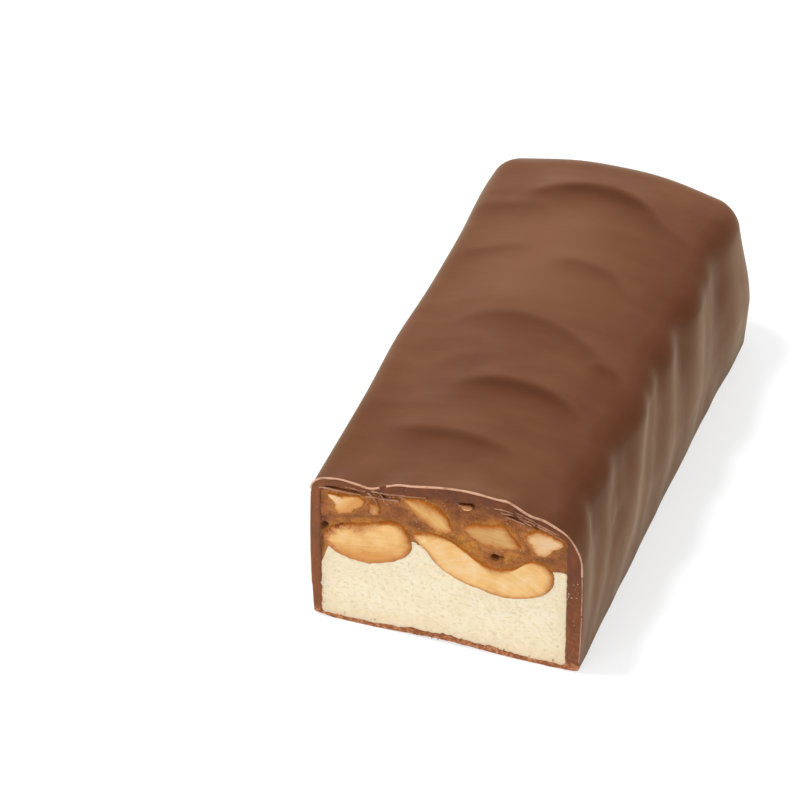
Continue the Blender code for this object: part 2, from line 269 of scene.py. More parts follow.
RIPPLES = (
    ripple(-3.0, 9.9, 0.004, 0.60, -2.6, 7.0, 2.0, lean=-0.16),
    ripple(1.2, 19.5, 0.024, 0.74, 2.0, 6.6, 2.0),
    ripple(-1.5, 31.7, 0.034, 0.44, -1.0, 8.0, 2.6, lean=-0.10),
    ripple(0.6, 43.2, 0.056, 0.36, 2.6, 4.8, 1.6, 6.0),
    ripple(-6.0, 44.8, 0.036, 0.26, -9.5, 4.5, 1.6, 6.0),
    ripple(-0.8, 57.4, 0.044, 0.76, -0.8, 7.2, 2.0, 3.5, lean=-0.04),
)
FAINT_RIPPLES = (
    ripple(-8.0, 14.8, 0.020, 0.14, -9.0, 4.5, 1.5, 4.0),
    ripple(-4.0, 23.8, 0.020, 0.20, -4.5, 3.6, 1.3, 4.0),
    ripple(-9.0, 27.0, 0.020, 0.12, -9.0, 4.0, 1.6, 3.0),
    ripple(-7.0, 34.4, 0.030, 0.14, -7.0, 4.5, 1.2, 3.0),
    ripple(9.5, 26.3, 0.120, 0.32, 9.6, 1.9, 1.3, 1.0),
    ripple(7.0, 28.3, 0.060, 0.16, 8.5, 3.0, 1.5, 2.2),
    ripple(-9.0, 52.8, 0.020, 0.30, -10.5, 4.5, 2.0, 3.0),
    ripple(-9.5, 55.6, 0.020, 0.20, -10.0, 4.0, 1.2, 3.0),
    ripple(7.0, 53.6, 0.050, 0.18, 8.5, 3.5, 1.4, 3.0),
    ripple(3.0, 50.0, 0.020, 0.10, 2.0, 5.0, 1.4, 3.0),
)
DRAPES = (
    drape(RIGHT, 1.2, 0.20, 0.25, 1.8, 2.6),
    drape(RIGHT, 7.6, 0.55, 0.30, 2.2, 2.4),
    drape(RIGHT, 17.6, 0.62, 0.78, 4.4, 3.6),
    drape(RIGHT, 31.6, 0.32, 0.48, 2.8, 2.8),
    drape(RIGHT, 41.4, 0.28, 0.68, 3.4, 4.0),
    drape(RIGHT, 56.4, 0.18, 0.72, 4.4, 4.2),
    drape(LEFT, 24.0, 0.40, 0.30, 7.5, 6.5),
    drape(LEFT, 56.0, 0.20, 0.34, 6.5, 5.5),
    low_fold(LEFT, 8.5, 0.32, 2.8),
    low_fold(LEFT, 20.0, 0.50, 3.4),
    low_fold(LEFT, 32.6, 0.38, 3.0),
    low_fold(LEFT, 44.0, 0.52, 3.5),
    low_fold(LEFT, 56.0, 0.40, 4.2),
)
FAINT_DRAPES = (
    drape(RIGHT, 12.6, 0.60, 0.08, 1.4, 1.4),
    drape(RIGHT, 24.6, 0.45, 0.12, 1.6, 1.4),
    drape(RIGHT, 46.6, 0.35, 0.14, 1.6, 1.8),
    drape(RIGHT, 60.2, 0.05, 0.36, 2.0, 2.6),
    dimple(RIGHT, 6.4, 17.2, 2.8, -0.20, 1.6),
    dimple(RIGHT, 17.6, 16.8, 4.0, -0.28, 3.4),
    dimple(RIGHT, 31.4, 18.6, 2.6, -0.18, 1.5),
    dimple(RIGHT, 38.8, 17.0, 4.0, -0.26, 2.4),
    dimple(RIGHT, 52.9, 16.2, 4.6, -0.28, 2.8),
    dimple(RIGHT, 13.2, 10.8, 1.6, -0.20),
    dimple(RIGHT, 12.2, 12.9, 1.2, 0.14),
    dimple(RIGHT, 17.9, 13.6, 3.0, -0.12, 2.0),
    low_fold(LEFT, 14.0, 0.14, 1.4),
    low_fold(LEFT, 26.5, 0.18, 1.5),
    low_fold(LEFT, 38.5, 0.16, 1.4),
    low_fold(LEFT, 50.0, 0.18, 1.5),
)


class Pit(NamedTuple):
    """An oval hollow in the cut face."""

    x: float
    z: float
    half_x: float
    half_z: float
    tilt: float
    depth: float


CARAMEL_PITS = (
    Pit(5.5, 13.25, 0.42, 0.30, 10.0, 0.75),
    Pit(6.3, 13.45, 0.30, 0.20, 0.0, 0.30),
    Pit(2.3, 19.60, 0.70, 0.32, -10.0, 0.50),
    Pit(-12.7, 18.05, 1.5, 0.16, -5.0, 0.70),
    Pit(-10.2, 18.05, 0.9, 0.12, -8.0, 0.25),
    Pit(-7.2, 18.2, 0.7, 0.16, -15.0, 0.45),
    Pit(-13.6, 12.6, 0.45, 0.35, 20.0, 0.45),
    Pit(-13.3, 10.9, 0.5, 0.3, -30.0, 0.40),
    Pit(7.6, 19.0, 1.3, 0.12, -18.0, 0.40),
    Pit(10.4, 18.3, 0.9, 0.10, -24.0, 0.35),
    Pit(9.1, 15.6, 0.5, 0.22, -50.0, 0.12),
    Pit(1.2, 14.6, 1.6, 0.35, -30.0, 0.10),
    Pit(4.0, 18.4, 1.0, 0.5, 10.0, 0.16),
    Pit(-5.6, 15.2, 1.5, 0.8, 10.0, 0.08),
)
# Patches of the caramel's tone: thin and golden, or deep and dark. The depth is the share.
GOLDEN_CARAMEL = (
    Pit(2.5, 14.3, 2.0, 0.8, -32.0, 0.8),
    Pit(7.4, 14.0, 1.2, 0.5, 10.0, 0.6),
    Pit(-0.4, 14.95, 0.7, 0.3, 0.0, 1.0),
    Pit(6.9, 13.2, 0.6, 0.3, 0.0, 0.7),
    Pit(-13.7, 8.2, 0.5, 1.2, 0.0, 1.0),
    Pit(-10.0, 14.3, 2.6, 0.35, 12.0, 0.35),
)
DARK_CARAMEL = (
    Pit(-3.4, 15.25, 1.0, 0.45, -10.0, 0.45),
    Pit(-5.4, 16.7, 0.9, 0.6, 0.0, 0.35),
    Pit(1.1, 15.9, 0.5, 0.9, 20.0, 0.30),
    Pit(1.2, 17.9, 1.0, 0.8, -20.0, 0.40),
    Pit(-13.7, 13.3, 0.5, 0.5, 0.0, 0.6),
    Pit(-13.9, 10.6, 0.3, 1.6, 0.0, 0.7),
    Pit(11.0, 14.3, 1.6, 0.5, 8.0, 0.40),
    Pit(13.0, 15.6, 0.5, 1.6, 0.0, 0.35),
    Pit(-10.5, 14.6, 2.4, 0.22, 12.0, 0.4),
    Pit(4.6, 19.2, 3.4, 0.6, -4.0, 0.30),
    Pit(-13.2, 17.9, 0.9, 0.4, 0.0, 0.5),
)


class Peanut(NamedTuple):
    """A peanut sliced by the cut, with its outline there as places (x, z).

    Its fibres run along the tilt and follow the bend. `depth` is how far it reaches back. The roast
    is 1 for dark, 0 for pale and less for the palest, above and below a seam at `seam` across its
    length. `rim` is the width of its dark edge, which widens to `skin` on the upper left. `papery`
    is the width of a band of papery skin at its left end. A nut under a film of fat or caramel
    takes on a `tint`.
    """

    outline: tuple
    centre: tuple
    tilt: float
    bend: float
    depth: float
    roast: float
    roast_low: float
    seam: float
    rim: float
    skin: float
    ragged: float
    papery: float = 0.0
    tint: str = "#FFFFFF"
    tinted: float = 0.0


PEANUTS = {
    "peanut_long": Peanut(
        (
            (-3.6, 14.1), (-2.2, 14.65), (-0.8, 14.75), (0.3, 14.55), (1.3, 14.0), (2.3, 13.35),
            (3.3, 12.65), (4.3, 12.15), (5.3, 11.95), (6.5, 12.0), (7.6, 12.35), (8.5, 13.0),
            (9.2, 13.7), (10.1, 14.05), (11.0, 13.9), (11.8, 13.2), (12.15, 12.2), (12.0, 11.1),
            (11.5, 10.2), (10.7, 9.45), (9.5, 8.8), (8.0, 8.35), (6.3, 8.15), (4.5, 8.4),
            (2.5, 8.85), (1.0, 9.4), (-0.4, 10.2), (-1.4, 11.15), (-2.2, 12.2), (-3.0, 13.1),
        ),
        centre=(5.6, 10.2), tilt=-8.0, bend=0.065, depth=4.5, roast=0.20, roast_low=0.26, seam=0.0,
        rim=0.42, skin=0.55, ragged=0.12,
    ),
    "peanut_oval": Peanut(
        (
            (-13.8, 11.2), (-13.4, 12.1), (-12.7, 12.9), (-11.7, 13.4), (-10.4, 13.8), (-8.5, 14.4),
            (-7.0, 14.8), (-5.6, 14.95), (-4.6, 14.55), (-4.05, 13.8), (-3.8, 12.8), (-3.85, 11.8),
            (-4.4, 10.8), (-5.3, 10.0), (-6.5, 9.35), (-8.0, 8.85), (-9.4, 8.65), (-10.7, 8.8),
            (-11.9, 9.1), (-12.9, 9.6), (-13.5, 10.3),
        ),
        centre=(-8.8, 11.6), tilt=10.0, bend=0.0, depth=4.5, roast=0.26, roast_low=0.62, seam=-0.4,
        rim=0.38, skin=0.95, ragged=0.14, papery=1.1,
    ),
    "peanut_piece_left": Peanut(
        (
            (-13.3, 17.15), (-12.4, 17.25), (-11.4, 17.3), (-10.4, 17.6), (-9.4, 17.6), (-8.8, 17.3),
            (-9.0, 16.7), (-9.6, 16.1), (-10.2, 15.4), (-11.0, 14.9), (-11.9, 14.75), (-12.4, 15.2),
            (-12.5, 16.0), (-12.9, 16.6),
        ),
        centre=(-11.0, 16.3), tilt=40.0, bend=0.0, depth=2.5, roast=-0.15, roast_low=0.95, seam=0.0,
        rim=0.20, skin=0.15, ragged=0.16, tint="#D89A5E", tinted=0.35,
    ),
    "peanut_piece_middle": Peanut(
        (
            (-4.7, 18.6), (-3.9, 18.9), (-2.9, 18.95), (-1.9, 18.8), (-1.0, 18.45), (-0.3, 17.9),
            (0.4, 17.1), (0.85, 16.2), (0.85, 15.5), (0.3, 15.1), (-0.5, 15.1), (-1.3, 15.45),
            (-2.1, 16.0), (-3.0, 16.6), (-3.6, 17.2), (-4.1, 17.9),
        ),
        centre=(-1.7, 17.1), tilt=-38.0, bend=0.0, depth=3.0, roast=0.40, roast_low=0.60, seam=-0.3,
        rim=0.44, skin=0.95, ragged=0.13, tint="#D2A45E", tinted=0.42,
    ),
    "peanut_piece_right": Peanut(
        (
            (2.0, 16.4), (2.6, 17.0), (3.3, 17.3), (4.2, 17.4), (5.0, 17.7), (6.0, 17.9),
            (6.9, 17.75), (7.4, 17.2), (8.0, 16.2), (8.5, 15.4), (8.1, 15.0), (7.0, 14.8),
            (5.8, 14.7), (4.8, 14.75), (3.9, 15.0), (3.1, 15.4), (2.4, 15.9),
        ),
        centre=(5.4, 16.2), tilt=-4.0, bend=0.0, depth=3.0, roast=0.42, roast_low=0.62, seam=0.0,
        rim=0.50, skin=0.7, ragged=0.20, tint="#C69A5C", tinted=0.68,
    ),
    "peanut_piece_corner": Peanut(
        (
            (8.9, 17.1), (9.2, 17.6), (9.8, 18.05), (10.7, 18.3), (11.5, 18.2), (12.4, 17.85),
            (13.15, 17.5), (13.25, 17.0), (12.8, 16.4), (12.2, 15.9), (11.6, 15.3), (11.0, 14.95),
            (10.4, 14.95), (9.8, 15.3), (9.3, 16.1), (8.95, 16.6),
        ),
        centre=(11.1, 16.7), tilt=8.0, bend=0.0, depth=2.5, roast=0.05, roast_low=0.12, seam=0.0,
        rim=0.32, skin=0.40, ragged=0.20, tint="#DCB28C", tinted=0.55,
    ),
}
PEANUT_CHIPS = {
    "peanut_chip": Peanut(
        (
            (-8.55, 17.1), (-7.95, 17.25), (-7.3, 17.0), (-7.2, 16.4), (-7.45, 15.7), (-8.05, 15.45),
            (-8.5, 15.9), (-8.4, 16.6),
        ),
        centre=(-7.9, 16.4), tilt=70.0, bend=0.0, depth=0.8, roast=0.45, roast_low=0.60, seam=0.0,
        rim=0.30, skin=0.35, ragged=0.20, tint="#AE8C5E", tinted=0.7,
    ),
    "peanut_crumb": Peanut(
        ((1.7, 19.2), (2.3, 19.3), (2.95, 19.25), (2.8, 18.95), (2.3, 18.75), (1.9, 18.9)),
        centre=(2.35, 19.05), tilt=-5.0, bend=0.0, depth=0.5, roast=0.0, roast_low=0.20, seam=0.0,
        rim=0.15, skin=0.2, ragged=0.12,
    ),
}

# Mesh fineness: points along each side of a ring, and rings along the bar.
RING_POINTS = (30, 44, 120, 6, 16)
RINGS_LENGTH = 230
RINGS_CROWDING = 1.12
RINGS_END = 22
RINGS_DOME = 12
RINGS_CAVITY = 7
RINGS_CAVITY_END = 4
BAND_STEPS = (0.0, 0.03, 0.08, 0.16, 0.27, 0.38, 0.5, 0.62, 0.73, 0.84, 0.93, 1.0)
NOUGAT_GRID = (230, 100)
CARAMEL_GRID = (260, 76)
POINTS_PEANUT = 112
RINGS_PEANUT_FACE = 34
RINGS_PEANUT_BACK = 9
# Size of the roughness of a crumb.
CRUMB_GRAIN = 1.0 / 9.0


# ---------------------------------------------------------------- shape of the bar


def along(at_cut, at_end, s):
    """A size that eases from its value at the cut to its value at the far end."""
    t = np.clip(s / LENGTH, 0.0, 1.0)
    return at_cut + (at_end - at_cut) * t * t * (3.0 - 2.0 * t)


def bump(offset, reach, power=2.0):
    """A smooth hump that is 1 in the middle and dies away past its reach."""
    return np.exp(-np.abs(offset / reach) ** power)


def humps(row, x):
    return sum(hump.height * bump(x - hump.middle, hump.reach, hump.power) for hump in row)


def eased(offset, ease):
    """0 well below an offset of 0 and 1 well above it."""
    return 1.0 / (1.0 + np.exp(-offset / ease))


def uneven(grain, x, y=0.0, z=0.0):
    """Unevenness of one grain at each place."""
    start = Vector((grain.shift, 2.0 * grain.shift, -grain.shift))
    places = np.column_stack(np.broadcast_arrays(x, y, z)) / grain.size
    values = [noise.fractal(Vector(place) + start, 1.0, 2.0, grain.octaves) for place in places]
    return grain.height * np.array(values)


def crown(x, s):
    """Rise of the top above the shoulders."""
    offset = x - along(CUT_CROWN_MIDDLE, END_CROWN_MIDDLE, s)
    left = along(CUT_CROWN_REACH_LEFT, END_CROWN_REACH, s)
    right = along(CUT_CROWN_REACH_RIGHT, END_CROWN_REACH, s)
    return CROWN_HEIGHT * bump(offset, np.where(offset < 0.0, left, right), 3.0)


def rounded_section(left, right, floor, top, corners, points):
    """Points round a box with rounded corners, from its bottom left corner by the right side."""
    base, side, roof, base_arc, arc = points
    bottom_left, bottom_right, top_right, top_left = corners
    places = (
        (left + bottom_left, floor + bottom_left, bottom_left, 180.0, base_arc, base),
        (right - bottom_right, floor + bottom_right, bottom_right, 270.0, base_arc, side),
        (right - top_right, top - top_right, top_right, 0.0, arc, roof),
        (left + top_left, top - top_left, top_left, 90.0, arc, side),
    )
    arcs = []
    for x, z, radius, start, arc_steps, _ in places:
        angle = np.radians(start + 90.0 * np.arange(arc_steps + 1) / arc_steps)
        arcs.append(np.column_stack([x + radius * np.cos(angle), z + radius * np.sin(angle)]))
    outline = []
    for bend, after, (*_, straight_steps) in zip(arcs, arcs[1:] + arcs[:1], places):
        part = np.arange(1, straight_steps)[:, None] / straight_steps
        outline += [bend, bend[-1] + (after[0] - bend[-1]) * part]
    return np.concatenate(outline)


def settled(s):
    """0 at the cut, where the knife held the shape, and 1 further back."""
    return 1.0 - float(bump(s, SHOULDER_SETTLES))


def skin_section(s):
    """Outline of the coating's outside without its waves, and how much of a wave each point takes.

    The columns are x, z, the undisturbed x and z, and the shares of top waves, side waves and wall.
    """
    base_corner = CUT_BASE_CORNER + (BASE_CORNER - CUT_BASE_CORNER) * settled(s)
    corners = (
        base_corner,
        base_corner,
        CUT_CORNER_RIGHT + (SHOULDER_CORNER - CUT_CORNER_RIGHT) * settled(s),
        float(along(CUT_CORNER_LEFT, END_CORNER_LEFT, s)),
    )
    x, z = rounded_section(-HALF_WIDTH, HALF_WIDTH, 0.0, SHOULDER_HEIGHT, corners, RING_POINTS).T
    rise = np.clip(z / SHOULDER_HEIGHT, 0.0, 1.0)
    outermost = np.clip(np.abs(x) / HALF_WIDTH, 0.0, 1.0)
    right = x > 0.0
    side = np.sign(x) * outermost**3
    top_share = rise**4
    above_foot = 1.0 - bump(z, FOOT_HEIGHT)
    side_share = side * above_foot * (0.5 + 0.8 * rise**2)
    wall = np.sign(x) * outermost**24 * above_foot * (1.0 - bump(z - SHOULDER_HEIGHT, WALL_FADE))
    leaned = np.clip((z - SHOULDER_LEAN_START) / (SHOULDER_HEIGHT - SHOULDER_LEAN_START), 0.0, 1.0)
    lean = (SHOULDER_LEAN * settled(s) + humps(END_LEAN, s)) * leaned**SHOULDER_LEAN_CURVE * right * side
    foot = uneven(FOOT_WAVE, s, FOOT_WAVE_LEFT_AND_RIGHT)[right.astype(int)]
    foot = foot * bump(z, FOOT_HEIGHT) * min(1.0, s / FOOT_WAVE_START)
    foot = foot + right * humps(FOOT_FLARE_ALONG, s) * humps(FOOT_FLARE_UP, z)
    dents = humps(CUT_EDGE_DENTS, x) * bump(s, CUT_DENT_DEPTH)
    raised = humps(BASE_DENTS, x) * bump(s, BASE_DENT_DEPTH)
    raised = raised + uneven(TORN_BASE, x) * bump(s, TORN_BASE_DEPTH)
    skin_x = x + side * (WALL_BULGE * np.sin(math.pi * rise) + foot) - lean
    skin_z = z + (crown(x, s) + dents) * top_share + np.clip(raised, 0.0, 1.0) * (1.0 - rise) ** 8
    return np.column_stack([skin_x, skin_z, x, z, top_share, side_share, wall])


def roof_thickness(x, s):
    thickness = ROOF_EDGE + ROOF_MIDDLE * bump(x - CUT_CROWN_MIDDLE, ROOF_REACH)
    return thickness + humps(ROOF_SAG, x) * bump(s, ROOF_SAG_DEPTH)


def inner_right(s):
    """Inner face of the right wall."""
    return HALF_WIDTH - WALL_RIGHT - RIGHT_INSET * settled(s)


def from_walls(x, s):
    """Distance in from the nearer side wall of the coating."""
    return np.minimum(x + HALF_WIDTH - WALL_LEFT, inner_right(s) - x)


def cavity_top(x, s):
    """Underside of the coating's roof."""
    return SHOULDER_HEIGHT + crown(x, s) - roof_thickness(x, s)


def caramel_top(x, s):
    """Top of the caramel, rounded off into the corners under the roof."""
    corner = np.clip(CAVITY_CORNER_TOP - from_walls(x, s), 0.0, CAVITY_CORNER_TOP)
    drop = CAVITY_CORNER_TOP - np.sqrt(CAVITY_CORNER_TOP**2 - corner**2)
    return cavity_top(x, s) - drop + TUCK


def film_top(x):
    """Top of the film of coating under the nougat."""
    return FILM + humps(FILM_HUMPS, x) + uneven(FILM_GRAIN, x, FILM_GRAIN_ROW)


def cavity_section(s):
    """Outline of the space inside the coating, in the columns of skin_section."""
    corners = (CAVITY_CORNER_BASE, CAVITY_CORNER_BASE, CAVITY_CORNER_TOP, CAVITY_CORNER_TOP)
    top = SHOULDER_HEIGHT - ROOF_EDGE
    x, z = rounded_section(WALL_LEFT - HALF_WIDTH, inner_right(s), 0.0, top, corners, RING_POINTS).T
    rise = np.clip(z / top, 0.0, 1.0)
    z = z + (cavity_top(x, s) - top) * rise**4 + film_top(x) * (1.0 - rise)
    torn = uneven(CAVITY_GRAIN, x, z, s)
    none = 0.0 * x
    return np.column_stack([x + torn, z + torn, x, z, none, none, none])


def run_rings(section, far, end, straight_rings, end_rings, crowding=1.0):
    """Rings of a section that runs back from the cut and is rounded off at its far end.

    The columns are x, y, z, undisturbed x, s, undisturbed z, top share, side share, tone
    and share of the wall.
    """
    start = far - end.length
    rings = []
    places = [(s, 0.0, 0.0) for s in start * np.linspace(0.0, 1.0, straight_rings) ** crowding]
    for step in range(1, end_rings + 1):
        angle = 0.5 * math.pi * step / end_rings
        places.append((start + end.length * math.sin(angle), 1.0 - math.cos(angle), step / end_rings))
    for s, drawn_in, turned in places:
        x, z, across, up, top_share, side_share, wall = section(s).T
        rise = z / SHOULDER_HEIGHT
        low = np.sqrt(np.clip(rise, 0.0, 1.0))
        draw = END_DRAW_FOOT + END_DRAW_RISE * low + END_DRAW_SHOULDER * low**12
        side = np.where(x < 0.0, end.left, end.right) * draw
        skew = END_SKEW * turned * (0.5 + 0.5 * x / HALF_WIDTH)
        x = x * (1.0 - side * drawn_in / HALF_WIDTH)
        z = z + (end.base * (1.0 - rise) - end.top * rise) * drawn_in
        y = s - skew + CUT
        kept = 1.0 - END_WAVE_LOSS * drawn_in
        columns = [x, y, z, across, s + 0.0 * x, up, top_share * kept, side_share * kept, 0.0 * x, wall]
        rings.append(np.column_stack(columns))
    return rings


def cut_band(inner, outer):
    """Rings over the cut face of the coating, from its inner edge out."""
    width = np.hypot(*(inner - outer)[:, [0, 2]].T)
    band = []
    for part in BAND_STEPS[::-1]:
        ring = outer + (inner - outer) * part
        ring[:, 6:] *= 1.0 - part
        x, z = ring[:, 0], ring[:, 2]
        rounding = sum(CUT_ROUNDING * bump(share * width, CUT_ROUNDING) for share in (part, 1.0 - part))
        layered = ROOF_LAYER_RELIEF * humps(LAYERED_ROOF, x) * (z > 0.8 * SHOULDER_HEIGHT)
        waver = ROOF_LAYERS * part + uneven(ROOF_LAYER_WAVER, x, z)
        relief = uneven(CUT_GRAIN, x, z) + layered * np.sin(2.0 * math.pi * waver)
        ring[:, 1] = CUT + rounding + relief * min(1.0, 12.0 * part)
        ring[:, 8] = eased(x - DARK_CUT_START, DARK_CUT_EASE)
        band.append(ring)
    return band


def end_dome(rim):
    """Rings that close the far end in an uneven dome, and the tip in its middle."""
    middle = np.array([0.0, rim[:, 1].max(), SHOULDER_HEIGHT / 2.0])
    dome = -CUT - middle[1]
    rings = []
    for step in range(1, RINGS_DOME + 1):
        size = 1.0 - step / (RINGS_DOME + 1.0)
        ring = rim.copy()
        ring[:, :3] = middle + (rim[:, :3] - middle) * size
        sunk = uneven(END_GRAIN, ring[:, 0], 0.5 * ring[:, 2]) - END_SINK
        ring[:, 1] += dome * (1.0 - size**2) + sunk * (1.0 - size**4)
        ring[:, 6:] *= size
        rings.append(ring)
    tip = rim.mean(axis=0)
    tip[:3] = middle + np.array([0.0, dome, 0.0])
    tip[6:] = 0.0
    return rings, tip


def coating_rings():
    """Rings of the coating: its cavity from the far wall out with the cut face, the skin, the tip."""
    inside = run_rings(cavity_section, LENGTH - END_WALL, CAVITY_END, RINGS_CAVITY, RINGS_CAVITY_END)
    skin = run_rings(skin_section, LENGTH - END_DOME, OUTER_END, RINGS_LENGTH, RINGS_END, RINGS_CROWDING)
    dome, tip = end_dome(skin[-1])
    return inside[:0:-1] + cut_band(inside[0], skin[0]), skin[1:] + dome, tip


def boundary(x, s):
    """Height where nougat meets caramel: it dips where a peanut is bedded in it."""
    slope = np.clip((NOUGAT_DIP_LEFT_START - x) / (HALF_WIDTH + NOUGAT_DIP_LEFT_START), 0.0, 1.0)
    dip = NOUGAT_DIP_LEFT * slope + humps(NOUGAT_DIPS, x)
    return NOUGAT_TOP - dip * bump(s, NOUGAT_DIP_DEPTH) + uneven(NOUGAT_WOBBLE, x)


def layer_edges(s, low, high, across, up):
    """Bottom and top edges of one layer of the filling, and the steps between them."""
    x = np.linspace(WALL_LEFT - HALF_WIDTH - TUCK, inner_right(s) + TUCK, across + 1)
    part = np.linspace(0.0, 1.0, up + 1)[:, None]
    return np.column_stack([x, low(x, s)]), np.column_stack([x, high(x, s)]), part


def layer_shape(low, high, grid, relief):
    """Front face of a layer as a fine grid with relief, and a plain body behind it."""
    across, up = grid
    bottom, top, part = layer_edges(0.0, low, high, across, up)
    flat = (bottom[None] + (top - bottom)[None] * part[:, :, None]).reshape(-1, 2)
    verts = [np.column_stack([flat[:, 0], relief(*flat.T) + CUT, flat[:, 1]])]
    count = len(flat)
    index = np.arange(count).reshape(up + 1, across + 1)
    faces = [
        (index[j, i], index[j, i + 1], index[j + 1, i + 1], index[j + 1, i])
        for j in range(up)
        for i in range(across)
    ]
    before = [*index[0], *index[1:-1, -1], *index[-1, ::-1], *index[-2:0:-1, 0]]
    for s, size in FILLING_RINGS:
        bottom, top, part = layer_edges(s, low, high, across, up)
        right = bottom[-1] + (top[-1] - bottom[-1]) * part[1:-1]
        left = top[0] + (bottom[0] - top[0]) * part[1:-1]
        ring = np.concatenate([bottom, right, top[::-1], left])
        middle = ring.mean(axis=0)
        x, z = (middle + (ring - middle) * size).T
        verts.append(np.column_stack([x, np.full(len(x), s + CUT), z]))
        after = list(range(count, count + len(x)))
        count += len(x)
        faces += zip(before, after, after[1:] + after[:1], before[1:] + before[:1])
        before = after
    return np.concatenate(verts), [*faces, tuple(before)]


def closed_curve(places, count):
    """Evenly spaced points on a smooth closed curve through the places."""
    places = np.array(places)
    t = np.linspace(0.0, 1.0, 12, endpoint=False)[None, :, None]
    a, b, c, d = (np.roll(places, shift, axis=0)[:, None, :] for shift in (1, 0, -1, -2))
    curve = b + 0.5 * t * (c - a + t * (2.0 * a - 5.0 * b + 4.0 * c - d + t * (3.0 * (b - c) + d - a)))
    curve = curve.reshape(-1, 2)
    curve = np.concatenate([curve, curve[:1]])
    length = np.concatenate([[0.0], np.cumsum(np.hypot(*np.diff(curve, axis=0).T))])
    steps = np.linspace(0.0, length[-1], count, endpoint=False)
    return np.column_stack([np.interp(steps, length, curve[:, k]) for k in (0, 1)])


def peanut_edge(nut, count, shift=0.0):
    """Outline of a peanut in the cut face with its ragged edge."""
    smooth = closed_curve(nut.outline, count)
    outward = smooth - nut.centre
    outward = outward / np.hypot(*outward.T)[:, None]
    return smooth + outward * uneven(Grain(nut.ragged, 0.9, 4), *smooth.T, shift)[:, None]


def outline_distance(points, outline):
    """Distance in the cut plane from each point to a closed outline."""
    best = np.full(len(points), np.inf)
    for start, end in zip(outline, np.roll(outline, -1, axis=0)):
        side = end - start
        part = np.clip((points - start) @ side / max(side @ side, 1e-9), 0.0, 1.0)
        away = points - start - part[:, None] * side
        best = np.minimum(best, np.hypot(*away.T))
    return best


def pit_depths(pits, x, z):
    """Depth of each pit, or share of each patch, at places in the cut face."""
    depths = []
    for pit in pits:
        tilt = math.radians(pit.tilt)
        u = ((x - pit.x) * math.cos(tilt) + (z - pit.z) * math.sin(tilt)) / pit.half_x
        v = ((z - pit.z) * math.cos(tilt) - (x - pit.x) * math.sin(tilt)) / pit.half_z
        depths.append(pit.depth * np.exp(-((u**2 + v**2) ** 1.5)))
    return depths


# ---------------------------------------------------------------- meshes and node trees


def new_object(name, data):
    obj = bpy.data.objects.new(name, data)
    bpy.context.scene.collection.objects.link(obj)
    return obj


def new_mesh_object(name, verts, faces, values=(), edges=(), recalculate=True):
    """Object from points in millimetres, with its named point values."""
    mesh = bpy.data.meshes.new(name)
    mesh.from_pydata([Vector(point) * MM for point in verts], edges, faces)
    for key, row in dict(values).items():
        row = np.asarray(row, np.float32)
        kind, field = ("FLOAT_VECTOR", "vector") if row.ndim > 1 else ("FLOAT", "value")
        mesh.attributes.new(key, kind, "POINT").data.foreach_set(field, row.ravel())
    if recalculate:
        work = bmesh.new()
        work.from_mesh(mesh)
        bmesh.ops.recalc_face_normals(work, faces=work.faces)
        work.to_mesh(mesh)
        work.free()
    mesh.shade_smooth()
    return new_object(name, mesh)


def loft_faces(rings):
    """Faces through rings of equal count, closed at two poles whose points follow the rings."""
    count = len(rings[0])
    last = (len(rings) - 1) * count
    around = [(k, (k + 1) % count) for k in range(count)]
    faces = [(i + k, i + n, i + count + n, i + count + k) for i in range(0, last, count) for k, n in around]
    faces += [(n, k, last + count) for k, n in around]
    faces += [(last + k, last + n, last + count + 1) for k, n in around]
    return faces


def join(tree, node, inputs):
    """Joins or sets a node's inputs, given by name, identifier or number."""
    for key, value in inputs.items():
        if isinstance(key, int):
            socket = node.inputs[key]
        else:
            named = [s for s in node.inputs if key in (s.name, s.identifier)]
            socket = next((s for s in named if s.enabled), named[0])
        if isinstance(value, bpy.types.Node):
            value = next(s for s in value.outputs if s.enabled)
        if isinstance(value, bpy.types.NodeSocket):
            tree.links.new(value, socket)
        else:
            socket.default_value = value


def add(tree, kind, inputs=(), stops=(), **settings):
    """Adds one node with its settings, its ramp's stops (place, grey or colour) and its inputs."""
    node = tree.nodes.new(kind)
    for name, value in settings.items():
        setattr(node, name, value)
    for index, (place, colour) in enumerate(stops):
        elements = node.color_ramp.elements
        element = elements[index] if index < 2 else elements.new(place)
        element.position = place
        element.color = rgba(colour)
    join(tree, node, dict(inputs))
    return node


def new_tree(name, inputs):
    """Geometry node tree with named inputs, given as name: (socket type, default)."""
    tree = bpy.data.node_groups.new(name, "GeometryNodeTree")
    tree.interface.new_socket("Geometry", in_out="OUTPUT", socket_type="NodeSocketGeometry")
    ends = {"Geometry": ("Geometry", None), **inputs, "Material": ("Material", None)}
    for key, (kind, default) in ends.items():
        socket = tree.interface.new_socket(key, in_out="INPUT", socket_type="NodeSocket" + kind)
        if default is not None:
            socket.default_value = default
    return tree, add(tree, "NodeGroupInput").outputs


def end_tree(tree, shape, given):
    """Ends a tree in real geometry of one material."""
    whole = add(tree, "GeometryNodeRealizeInstances", {"Geometry": shape})
    dressed = add(tree, "GeometryNodeSetMaterial", {"Geometry": whole, "Material": given["Material"]})
    add(tree, "NodeGroupOutput", {"Geometry": dressed})
    return tree


